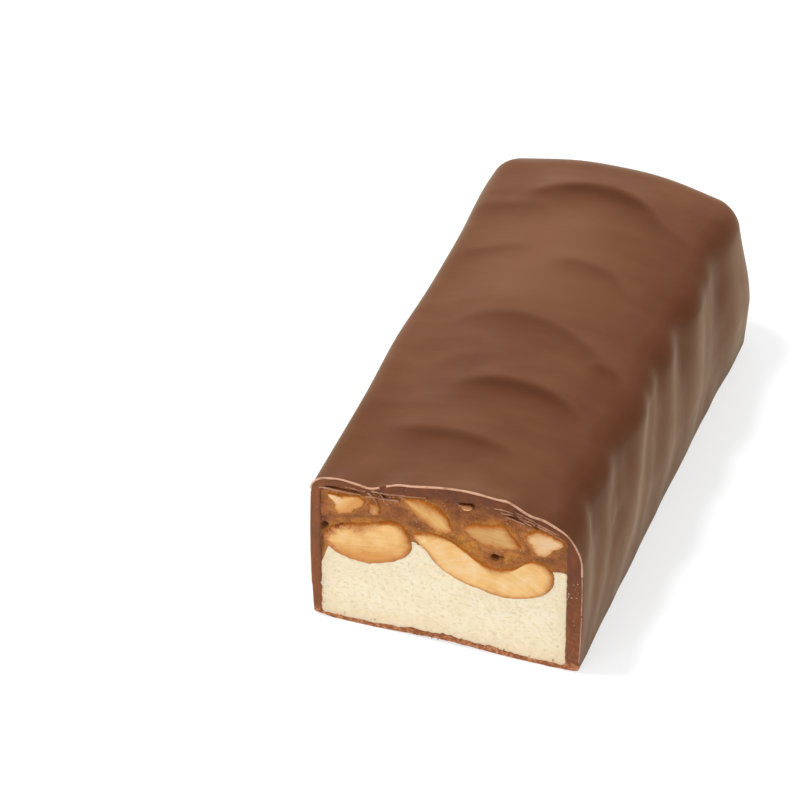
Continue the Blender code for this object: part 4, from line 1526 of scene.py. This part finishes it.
class BAR_OT_stage(bpy.types.Operator):
    """Makes the camera, the lights, the surroundings and the white table"""

    bl_idname = "bar.stage"
    bl_label = "Stage"

    def execute(self, context):
        set_camera(context.scene)
        for name, box in SOFTBOXES.items():
            hang_softbox(name, box)
        light_room(context.scene)
        context.scene.view_settings.view_transform = "Standard"
        corners = ((-1, -1), (1, -1), (1, 1), (-1, 1))
        corners = [(x * TABLE_HALF, y * TABLE_HALF, TABLE_HEIGHT) for x, y in corners]
        floor = new_mesh_object("table", corners, [(0, 1, 2, 3)], recalculate=False)
        floor.data.materials.append(white_table())
        return {"FINISHED"}


def torn_share(x, z):
    """How torn the cut coating is: all of the film, and the right wall below its smooth top."""
    below_top = eased(TORN_WALL_TOP - z, TORN_WALL_EASE)
    right_wall = (TORN_WALL_SHARE - TORN_WALL_LOSS * z) * below_top * (x > 0.8 * HALF_WIDTH)
    return np.maximum(bump(z, FILM_REACH, 8.0), right_wall)


# Painted shade over the right shoulder, which turns away from the light: a band of uneven width,
# and a wider, fainter one on the top that strengthens from one place to another behind the cut.
SHOULDER_SHADE_LINE = (HALF_WIDTH - 1.5, SHOULDER_HEIGHT - 0.5)
SHOULDER_SHADE_BAND = 2.1
SHOULDER_SHADE_BAND_SHARE = 0.65
SHOULDER_SHADE_UNEVENNESS = Grain(0.35, 6.0, 2)
SHOULDER_WIDE_SHADE_BAND = 5.0
SHOULDER_WIDE_SHADE_SHARES = (0.14, 0.40)
SHOULDER_SHADE_STRENGTHENS = (24.0, 36.0)
SHOULDER_SHADE_ENDS = (LENGTH - 8.0, LENGTH - 3.0)
# The pale haze on the top, left of the middle and towards the back.
HAZE_ACROSS = (Hump(-4.0, 7.5, 0.5),)
HAZE_ALONG = (Hump(44.0, 12.0, 1.0, 3.0),)


def shoulder_shade_share(across, s, up):
    """Share of the painted shade over the right shoulder."""
    line_x, line_z = SHOULDER_SHADE_LINE
    away = np.hypot(across - line_x, up - line_z)
    on_top = bump(np.maximum(line_z - up, 0.0), 1.5)
    reach = SHOULDER_SHADE_BAND * (1.0 + uneven(SHOULDER_SHADE_UNEVENNESS, 0.0, s))
    narrow = SHOULDER_SHADE_BAND_SHARE * bump(away, reach, 3.0)
    wide = np.interp(s, SHOULDER_SHADE_STRENGTHENS, SHOULDER_WIDE_SHADE_SHARES) * bump(away, SHOULDER_WIDE_SHADE_BAND, 3.0)
    return np.maximum(narrow, wide * on_top) * np.interp(s, SHOULDER_SHADE_ENDS, (1.0, 0.0))


class BAR_OT_coating(bpy.types.Operator):
    """Makes the milk chocolate coating with its waves and its cut face"""

    bl_idname = "bar.coating"
    bl_label = "Coating"

    def execute(self, context):
        inner, skin, tip = coating_rings()
        rings = inner + skin
        points = np.concatenate([*rings, inner[0].mean(axis=0)[None], tip[None]])
        x, _, z, across, s, up, top_share, side_share, tone, wall = points.T
        shares = {
            "across": across,
            "behind": s,
            "up": up,
            "top_share": top_share,
            "side_share": side_share,
            # Shares of painted shade (hollow) and painted sheen (band), which the waves fill in.
            "hollow": 0.0 * s,
            "band": 0.0 * s,
            "tone": tone,
            "wall": wall,
            "film": torn_share(x, z),
            # Painted shade over the right shoulder.
            "shoulder_shade": shoulder_shade_share(across, s, up),
            "haze": humps(HAZE_ACROSS, across) * humps(HAZE_ALONG, s),
        }
        guide = new_mesh_object("coating_guide", points[:, :3], loft_faces(rings), shares)
        waves = wave_points(RIPPLES + FAINT_RIPPLES + DRAPES + FAINT_DRAPES)
        strength = context.scene.bar_sizes.wave_strength
        inputs = {"Waves": waves, "Strength": strength, "Material": milk_chocolate_skin()}
        coating = run_tree("coating", guide, wave_tree(), inputs)
        bpy.data.objects.remove(waves, do_unlink=True)
        coating.data.materials.append(milk_chocolate_cut())
        skin_starts = (len(inner) - 1) * len(rings[0])
        is_cut = np.arange(len(coating.data.polygons)) < skin_starts
        coating.data.polygons.foreach_set("material_index", is_cut.astype(np.int32))
        finished(coating, "milk_chocolate", "chocolate_coating")
        return {"FINISHED"}


def filling(name, shape, grid, finish, shares):
    """A layer of the filling, with shares worked out on its front face and 0 behind it."""
    verts, faces = shape
    front = (grid[0] + 1) * (grid[1] + 1)
    behind = np.zeros(len(verts) - front)
    values = {
        key: np.concatenate([np.clip(row, 0.0, 1.0), behind])
        for key, row in shares(*verts[:front].T).items()
    }
    layer = new_mesh_object(name + "_filling", verts, faces, values)
    layer.data.materials.append(finish)
    return finished(layer, name, name)


# The cut nougat: its relief, and the bounds, seed and radii of its open pores.
NOUGAT_GRAINS = (Grain(1.0, 0.7, 4), Grain(0.8, 2.5, 2))
PORE_BOUNDS = ((-14.0, 0.6), (13.5, 12.8))
PORE_SEED = 7
PORE_RADII = (0.07, 0.15)
PORE_NEAR = 0.6
PORE_STRETCH = 0.7
PORE_DEPTH = 0.9
# How deep the cut fillings lie behind the cut edge.
FACE_SINK = 0.10
# The nougat is darker and pinker where it meets the walls and the film.
WALL_BORDER = (Hump(0.0, 0.9, 0.8, 1.0),)
FILM_BORDER = (Hump(0.0, 1.5, 0.9, 1.2),)
BORDER_STRENGTH = 0.9
BORDER_GRAIN = Grain(0.5, 0.6, 3)


class BAR_OT_nougat(bpy.types.Operator):
    """Makes the whipped nougat with its open pores"""

    bl_idname = "bar.nougat"
    bl_label = "Nougat"

    def execute(self, context):
        sizes = context.scene.bar_sizes
        draw = np.random.default_rng(PORE_SEED)
        spots = draw.uniform(*PORE_BOUNDS, (sizes.pore_count, 2))
        radii = draw.uniform(*PORE_RADII, sizes.pore_count) * draw.uniform(0.5, 1.0, sizes.pore_count)

        def relief(x, z):
            rough = sum(uneven(grain, x, 0.0, z) for grain in NOUGAT_GRAINS)
            depth = FACE_SINK + sizes.nougat_relief / MM * rough
            for (spot_x, spot_z), radius in zip(spots, radii):
                near = np.flatnonzero((np.abs(x - spot_x) < PORE_NEAR) & (np.abs(z - spot_z) < PORE_NEAR))
                away = np.hypot((x[near] - spot_x) * PORE_STRETCH, z[near] - spot_z)
                depth[near] += PORE_DEPTH * radius * bump(away, radius, 2.5)
            return depth

        def shares(x, y, z):
            by_walls = humps(WALL_BORDER, np.clip(from_walls(x, 0.0), 0.0, 9.0))
            border = by_walls + humps(FILM_BORDER, z - film_top(x))
            return {"border": border * (BORDER_STRENGTH + uneven(BORDER_GRAIN, x, y, z))}

        shape = layer_shape(
            lambda x, s: film_top(x) - TUCK, lambda x, s: boundary(x, s) + TUCK, NOUGAT_GRID, relief
        )
        filling("nougat", shape, NOUGAT_GRID, whipped_nougat(), shares)
        return {"FINISHED"}


# The cut caramel sinks away from the nuts, and is uneven.
CARAMEL_HOLLOW = 0.6
CARAMEL_HOLLOW_REACH = 0.7
CARAMEL_GRAIN = Grain(0.7, 1.8, 4)
CARAMEL_FINE_GRAIN = Grain(0.03, 0.35, 3)
CARAMEL_OVERLAP = 0.02


class BAR_OT_caramel(bpy.types.Operator):
    """Makes the soft caramel, drawn up to the nuts and torn below the roof"""

    bl_idname = "bar.caramel"
    bl_label = "Caramel"

    def execute(self, context):
        deepest = context.scene.bar_sizes.caramel_relief / MM
        outlines = [peanut_edge(nut, 96) for nut in PEANUTS.values()]

        def from_nuts(x, z):
            points = np.column_stack([x, z])
            return np.min([outline_distance(points, outline) for outline in outlines], axis=0)

        def relief(x, z):
            hollow = CARAMEL_HOLLOW * (1.0 - bump(from_nuts(x, z), CARAMEL_HOLLOW_REACH))
            depth = FACE_SINK + deepest * (hollow + uneven(CARAMEL_GRAIN, x, 0.0, z))
            return depth + uneven(CARAMEL_FINE_GRAIN, x, 0.0, z) + sum(pit_depths(CARAMEL_PITS, x, z))

        def shares(x, _, z):
            # Painted shade in the pits and gaps and under the roof; the dark patches are deep caramel.
            pits = sum(np.clip(2.3 * depth, 0.0, 1.0) for depth in pit_depths(CARAMEL_PITS, x, z))
            shade_under_roof = 0.5 * bump(cavity_top(x, 0.0) - z, 0.6)
            golden = 0.60 * bump(from_nuts(x, z), 0.35, 1.0) + sum(pit_depths(GOLDEN_CARAMEL, x, z))
            return {"golden": golden, "deep": pits + shade_under_roof + sum(pit_depths(DARK_CARAMEL, x, z))}

        shape = layer_shape(
            lambda x, s: boundary(x, s) - CARAMEL_OVERLAP, caramel_top, CARAMEL_GRID, relief
        )
        filling("caramel", shape, CARAMEL_GRID, soft_caramel(), shares)
        return {"FINISHED"}


# Relief of a sliced nut: fibres and swells, the seam between its halves, a worn edge and a dome.
NUT_FIBRES = Grain(0.035, 0.45, 3)
NUT_SWELLS = Grain(0.05, 2.0, 2)
NUT_FIBRE_STRETCH = 0.22
NUT_SEAM = (Hump(0.0, 0.18, 0.05),)
NUT_WORN_EDGE = (Hump(0.0, 0.12, 0.22, 1.5),)
NUT_DOME = 0.05
NUT_BODY_START = 0.3
NUT_SPACING = 3.7
# Its colour: a dark edge of uneven width, a roast that wanders and deepens outwards, flaked skin.
NUT_UPPER_LEFT = (-0.55, 0.83)
NUT_LEFT_END = (-0.94, 0.34)
NUT_EDGE_START = 0.15
NUT_EDGE_LEAST = 0.05
NUT_EDGE_WIDTH = 0.98
NUT_EDGE_GRAIN = Grain(0.42, 0.5, 3)
NUT_ROAST_WANDER = Grain(0.3, 3.0, 2)
NUT_ROAST_EASE = 0.35
NUT_OUTER_ROAST = 0.35
NUT_OUTER_ROAST_REACH = 0.8
NUT_SKIN_WIDTH = 0.75
NUT_SKIN_GRAIN = Grain(0.6, 0.45, 3)
NUT_TINT_LOSS = 0.6
NUT_TINT_REACH = 0.5


def nut_face(nut, proud, size, inward, across, along_fibres, upper_left):
    """Depth of one row of a nut's cut face, and its share of the dark edge."""
    relief = uneven(NUT_FIBRES, *along_fibres) + uneven(NUT_SWELLS, *along_fibres)
    relief = relief + humps(NUT_SEAM, across - nut.seam)
    depth = humps(NUT_WORN_EDGE, inward) + NUT_DOME * size**3 - proud + relief * (1.0 - size**12)
    width = nut.rim + (nut.skin - nut.rim) * upper_left
    width = np.maximum(width * (NUT_EDGE_WIDTH + uneven(NUT_EDGE_GRAIN, *along_fibres)), NUT_EDGE_LEAST)
    return depth, np.exp(-np.maximum(inward - NUT_EDGE_START, 0.0) / width)


def nut_row(nut, outline, proud, shift, size, angle):
    """One row round a sliced nut, shrunk to a size and turned back by an angle.

    The columns are x, y, z, the place along and across the nut, roast, edge, skin and tint.
    """
    tilt = math.radians(nut.tilt)
    away = outline - nut.centre
    reach = np.hypot(*away.T)
    upper_left, left_end = (np.clip(away @ way / reach, 0.0, 1.0) for way in (NUT_UPPER_LEFT, NUT_LEFT_END))
    x, z = (nut.centre + away * size).T
    turn = ((math.cos(tilt), -math.sin(tilt)), (math.sin(tilt), math.cos(tilt)))
    u, v = (away * size @ turn).T
    v = v - nut.bend * (reach.max() ** 2 * 0.3 - u**2)
    inward = reach * (1.0 - size)
    along_fibres = (u * NUT_FIBRE_STRETCH, v, shift)
    depth = NUT_BODY_START + (nut.depth - NUT_BODY_START) * math.sin(angle)
    edge = 1.0
    if angle == 0.0:
        depth, edge = nut_face(nut, proud, size, inward, v, along_fibres, upper_left**2)
    low = eased(nut.seam + uneven(NUT_ROAST_WANDER, *along_fibres) - v, NUT_ROAST_EASE)
    roast = nut.roast + (nut.roast_low - nut.roast) * low
    roast = roast + NUT_OUTER_ROAST * np.exp(-inward / NUT_OUTER_ROAST_REACH)
    flaked = np.maximum(NUT_SKIN_WIDTH + uneven(NUT_SKIN_GRAIN, x, z, shift), 0.1)
    skin = bump(inward / flaked, max(nut.papery, 0.05), 3.0) * left_end**1.6 * min(1.0, nut.papery)
    tinted = nut.tinted * (1.0 - NUT_TINT_LOSS * np.exp(-inward / NUT_TINT_REACH))
    columns = (x, depth + CUT, z, u * MM, v * MM, roast, edge, skin, tinted)
    return np.column_stack(np.broadcast_arrays(*columns))


def peanut_shape(nut, proud, shift):
    """Half a peanut: a domed, fibrous cut face, a rounded edge and the body behind it."""
    outline = peanut_edge(nut, POINTS_PEANUT, shift)
    steps = [(size, 0.0) for size in np.linspace(0.0, 1.0, RINGS_PEANUT_FACE + 1)[1:] ** 0.8]
    for step in range(1, RINGS_PEANUT_BACK + 1):
        angle = 0.5 * math.pi * step / (RINGS_PEANUT_BACK + 1)
        steps.append((math.cos(angle), angle))
    rows = [nut_row(nut, outline, proud, shift, size, angle) for size, angle in steps]
    tips = np.array([rows[0].mean(axis=0), rows[-1].mean(axis=0)])
    tips[1, 1] = nut.depth + CUT
    tips[:, 3:] = (0.0, 0.0, nut.roast, 0.0, 0.0, nut.tinted), (0.0, 0.0, nut.roast, 1.0, 0.0, 0.0)
    points = np.concatenate([*rows, tips])
    *_, u, v, roast, edge, skin, tinted = points.T
    values = {
        "fibre": np.column_stack([u, v, np.full(len(u), shift * MM)]),
        "roast": roast,
        "edge": edge,
        "skin": skin,
        "tint": np.tile(linear(nut.tint), (len(u), 1)),
        "tinted": tinted,
    }
    return points[:, :3], loft_faces(rows), values


class BAR_OT_peanuts(bpy.types.Operator):
    """Makes the sliced peanuts and their chips"""

    bl_idname = "bar.peanuts"
    bl_label = "Peanuts"

    def execute(self, context):
        proud = context.scene.bar_sizes.nut_proud / MM
        finish = roasted_peanut()
        for index, (name, nut) in enumerate({**PEANUTS, **PEANUT_CHIPS}.items()):
            is_node = name in PEANUTS
            shape = peanut_shape(nut, proud, NUT_SPACING * index)
            peanut = new_mesh_object(name + "_half" if is_node else name, *shape)
            peanut.data.materials.append(finish)
            finished(peanut, "peanut", *[name] * is_node)
        return {"FINISHED"}


class LipStretch(NamedTuple):
    """Stretch of the cut edge that carries a pale lip, by its bounds in the cut face."""

    left: float
    right: float
    low: float
    high: float
    share: float


LIP_STRETCHES = (
    LipStretch(-15.6, -7.2, 17.2, 99.0, 0.50),
    LipStretch(-6.6, 12.9, 13.0, 99.0, 0.52),
    LipStretch(12.0, 15.8, 13.0, 99.0, 0.42),
    LipStretch(14.0, 15.8, 1.2, 13.4, 0.20),
    LipStretch(-15.8, -14.0, 4.0, 17.0, 0.18),
)
LIP_DEPTH = 0.04
LIP_CENTRE_HEIGHT = 8.0
LUMP_SPACING = 1.4
LIP_UNEVENNESS = 0.75
FLAKE_UNEVENNESS = 0.3
FLAKE_DEPTH = 0.02
FLAKE_WANDER = Grain(0.10, 0.8, 3)
FLAKE_STANDING = Grain(0.06, 1.2, 2, 5.0)
FLAKE_SPACING = 3.0


class Flake(NamedTuple):
    """A thin ridge of torn chocolate in the cut face, through places (x, z), and its width."""

    places: tuple
    width: float


ROOF_FLAKES = (
    Flake(((-14.1, 17.7), (-12.8, 17.82), (-11.2, 17.8), (-9.4, 17.86)), 0.16),
    Flake(((-8.9, 17.8), (-7.6, 17.95), (-6.3, 18.0), (-5.2, 18.2)), 0.13),
    Flake(((-11.2, 18.5), (-10.0, 18.42), (-8.9, 18.5)), 0.12),
    Flake(((-8.6, 18.4), (-7.9, 17.7), (-7.6, 17.1)), 0.12),
    Flake(((-7.3, 18.5), (-6.9, 18.0), (-6.8, 17.6)), 0.10),
    Flake(((-8.2, 18.75), (-6.8, 18.7), (-5.6, 18.9), (-4.4, 19.1)), 0.14),
    Flake(((-5.2, 18.75), (-3.8, 19.1), (-2.2, 19.4)), 0.10),
    Flake(((1.5, 19.32), (2.2, 19.28), (3.0, 19.36)), 0.16),
    Flake(((5.4, 20.0), (6.6, 20.05), (7.8, 19.75), (9.0, 19.3), (10.0, 18.95)), 0.14),
    Flake(((6.2, 19.6), (7.2, 19.55), (8.4, 19.2), (9.6, 18.75)), 0.12),
    Flake(((6.8, 19.2), (7.8, 19.0), (8.8, 18.7)), 0.11),
    Flake(((7.6, 20.2), (8.6, 19.85), (9.8, 19.4), (11.2, 18.85), (12.4, 18.3)), 0.12),
    Flake(((10.2, 18.9), (11.4, 18.45), (12.5, 18.0), (13.2, 17.6)), 0.13),
)


def bead(name, chains, shares, unevenness, pale):
    """Pale uneven bead along chains of places (x, y, z), each with a share of the lip's width."""
    verts, edges, values = [], [], []
    for chain, share in zip(chains, shares):
        start = len(verts)
        verts.extend(chain)
        values.extend([share] * len(chain))
        edges.extend((k, k + 1) for k in range(start, len(verts) - 1))
    guide = new_mesh_object(name, verts, [], {"share": values}, edges, recalculate=False)
    inputs = {
        "Width": bpy.context.scene.bar_sizes.lip_width,
        "Unevenness": unevenness,
        "Lump spacing": LUMP_SPACING * MM,
        "Material": pale,
    }
    return finished(run_tree(name, guide, edge_tree(), inputs), "milk_chocolate")


def wave_lift_at_cut(x, strength):
    """Lift of the top waves at the cut edge, as the node tree makes it."""
    lift = 0.0
    for wave in RIPPLES + FAINT_RIPPLES:
        off = x - wave.apex
        past = wave.bow * off**2 - wave.lean * off - wave.crest
        run = np.where(past < 0.0, wave.near_run, wave.far_run)
        away = np.sqrt(past**2 + wave.softness**2) - wave.softness
        lift = lift + wave.height * np.exp(-away / run) * bump(x - wave.middle, wave.half_span, 4.0)
    return lift * strength


class BAR_OT_lip(bpy.types.Operator):
    """Makes the thin pale lip that the knife drew along the cut edge, and the torn flakes below it"""

    bl_idname = "bar.lip"
    bl_label = "Cut lip"

    def execute(self, context):
        sizes = context.scene.bar_sizes
        x, z = skin_section(0.0)[:, :2].T
        z = z + wave_lift_at_cut(x, sizes.wave_strength) * (z > 0.7 * SHOULDER_HEIGHT)
        edge = np.column_stack([x, z])
        chains = []
        for part in LIP_STRETCHES:
            inside = (part.left <= x) & (x <= part.right) & (part.low <= z) & (z <= part.high)
            row = edge[inside]
            order = np.argsort(np.arctan2(row[:, 1] - LIP_CENTRE_HEIGHT, -row[:, 0]))
            chains.append([(x, CUT + LIP_DEPTH, z) for x, z in row[order]])
        smear = cut_edge_smear("cut_edge_smear", "rim")
        bead("cut_lip", chains, [part.share for part in LIP_STRETCHES], LIP_UNEVENNESS, smear)
        torn = []
        for index, flake in enumerate(ROOF_FLAKES):
            x, z = np.array(flake.places).T
            fine = np.linspace(0.0, len(x) - 1.0, 8 * len(x))
            x, z = [np.interp(fine, np.arange(len(x)), row) for row in (x, z)]
            z = z + uneven(FLAKE_WANDER, fine, FLAKE_SPACING * index)
            y = CUT + FLAKE_DEPTH + uneven(FLAKE_STANDING, fine, FLAKE_SPACING * index)
            torn.append(list(zip(x, y, z)))
        widths = [flake.width * MM / sizes.lip_width for flake in ROOF_FLAKES]
        bead("roof_flakes", torn, widths, FLAKE_UNEVENNESS, cut_edge_smear("torn_flake", "flake"))
        return {"FINISHED"}


class Scatter(NamedTuple):
    """Crumbs over an upright patch of the cut face, with the size of the largest as a share."""

    across: tuple
    up: tuple
    per_mm2: float
    size: float
    shape: tuple
    turn: float
    seed: int
    finish: str = "cut"
    slot: str = "milk_chocolate"


SCATTERS = {
    "crumbs_film": Scatter((-14.0, 13.4), (0.3, 1.1), 2.0, 1.0, (1.0, 0.6, 0.8), 3.1, 3),
    "crumbs_left": Scatter((-14.3, -13.6), (1.0, 18.0), 3.0, 0.8, (0.8, 0.6, 1.0), 3.1, 5),
    "crumbs_pale": Scatter(
        (13.5, 15.0), (9.8, 12.6), 3.5, 0.55, (1.0, 0.6, 1.0), 3.1, 8, "nougat", "nougat"
    ),
    "flakes_roof_left": Scatter((-9.4, -4.6), (17.4, 18.7), 2.2, 1.5, (1.0, 0.5, 0.22), 0.4, 11, "flake"),
    "flakes_roof_right": Scatter((6.0, 10.4), (18.2, 19.6), 1.6, 1.5, (1.0, 0.5, 0.20), 0.2, 13, "flake"),
}
CRUMBS_PROUD = 0.01
SMALLEST_CRUMB = 0.35


class BAR_OT_crumbs(bpy.types.Operator):
    """Makes the crumbs and flakes that the knife left on the cut face"""

    bl_idname = "bar.crumbs"
    bl_label = "Crumbs"

    def execute(self, context):
        finishes = {
            "cut": milk_chocolate_cut(),
            "nougat": whipped_nougat(),
            "flake": cut_edge_smear("loose_flake", "flake"),
        }
        largest = context.scene.bar_sizes.crumb_size
        tree = crumb_tree()
        for name, patch in SCATTERS.items():
            corners = ((0, 0), (1, 0), (1, 1), (0, 1))
            corners = [(patch.across[i], CUT - CRUMBS_PROUD, patch.up[k]) for i, k in corners]
            guide = new_mesh_object(name, corners, [(0, 1, 2, 3)], recalculate=False)
            inputs = {
                "Crumbs per square metre": patch.per_mm2 / MM**2,
                "Smallest": SMALLEST_CRUMB * largest * patch.size,
                "Largest": largest * patch.size,
                "Shape": patch.shape,
                "Turn": patch.turn,
                "Seed": patch.seed,
                "Material": finishes[patch.finish],
            }
            finished(run_tree(name, guide, tree, inputs), patch.slot)
        return {"FINISHED"}


OPERATORS = (
    BAR_OT_stage,
    BAR_OT_coating,
    BAR_OT_nougat,
    BAR_OT_caramel,
    BAR_OT_peanuts,
    BAR_OT_lip,
    BAR_OT_crumbs,
)


class BAR_PT_panel(bpy.types.Panel):
    """Lists the bar's pieces in the sidebar"""

    bl_idname = "BAR_PT_panel"
    bl_label = "Nougat bar"
    bl_space_type = "VIEW_3D"
    bl_region_type = "UI"
    bl_category = "Nougat bar"

    def draw(self, context):
        for operator in OPERATORS:
            self.layout.operator(operator.bl_idname)
        for group in (context.scene.bar_sizes, context.scene.bar_colours):
            for key in group.__annotations__:
                self.layout.prop(group, key)


CLASSES = (BarSizes, BarColours, *OPERATORS, BAR_PT_panel)


def register():
    for cls in CLASSES:
        bpy.utils.register_class(cls)
    bpy.types.Scene.bar_sizes = PointerProperty(type=BarSizes)
    bpy.types.Scene.bar_colours = PointerProperty(type=BarColours)


def unregister():
    del bpy.types.Scene.bar_sizes
    del bpy.types.Scene.bar_colours
    for cls in reversed(CLASSES):
        bpy.utils.unregister_class(cls)


def main():
    register()
    bpy.ops.bar.stage()
    bpy.ops.bar.coating()
    bpy.ops.bar.nougat()
    bpy.ops.bar.caramel()
    bpy.ops.bar.peanuts()
    bpy.ops.bar.lip()
    bpy.ops.bar.crumbs()


if __name__ == "__main__":
    main()
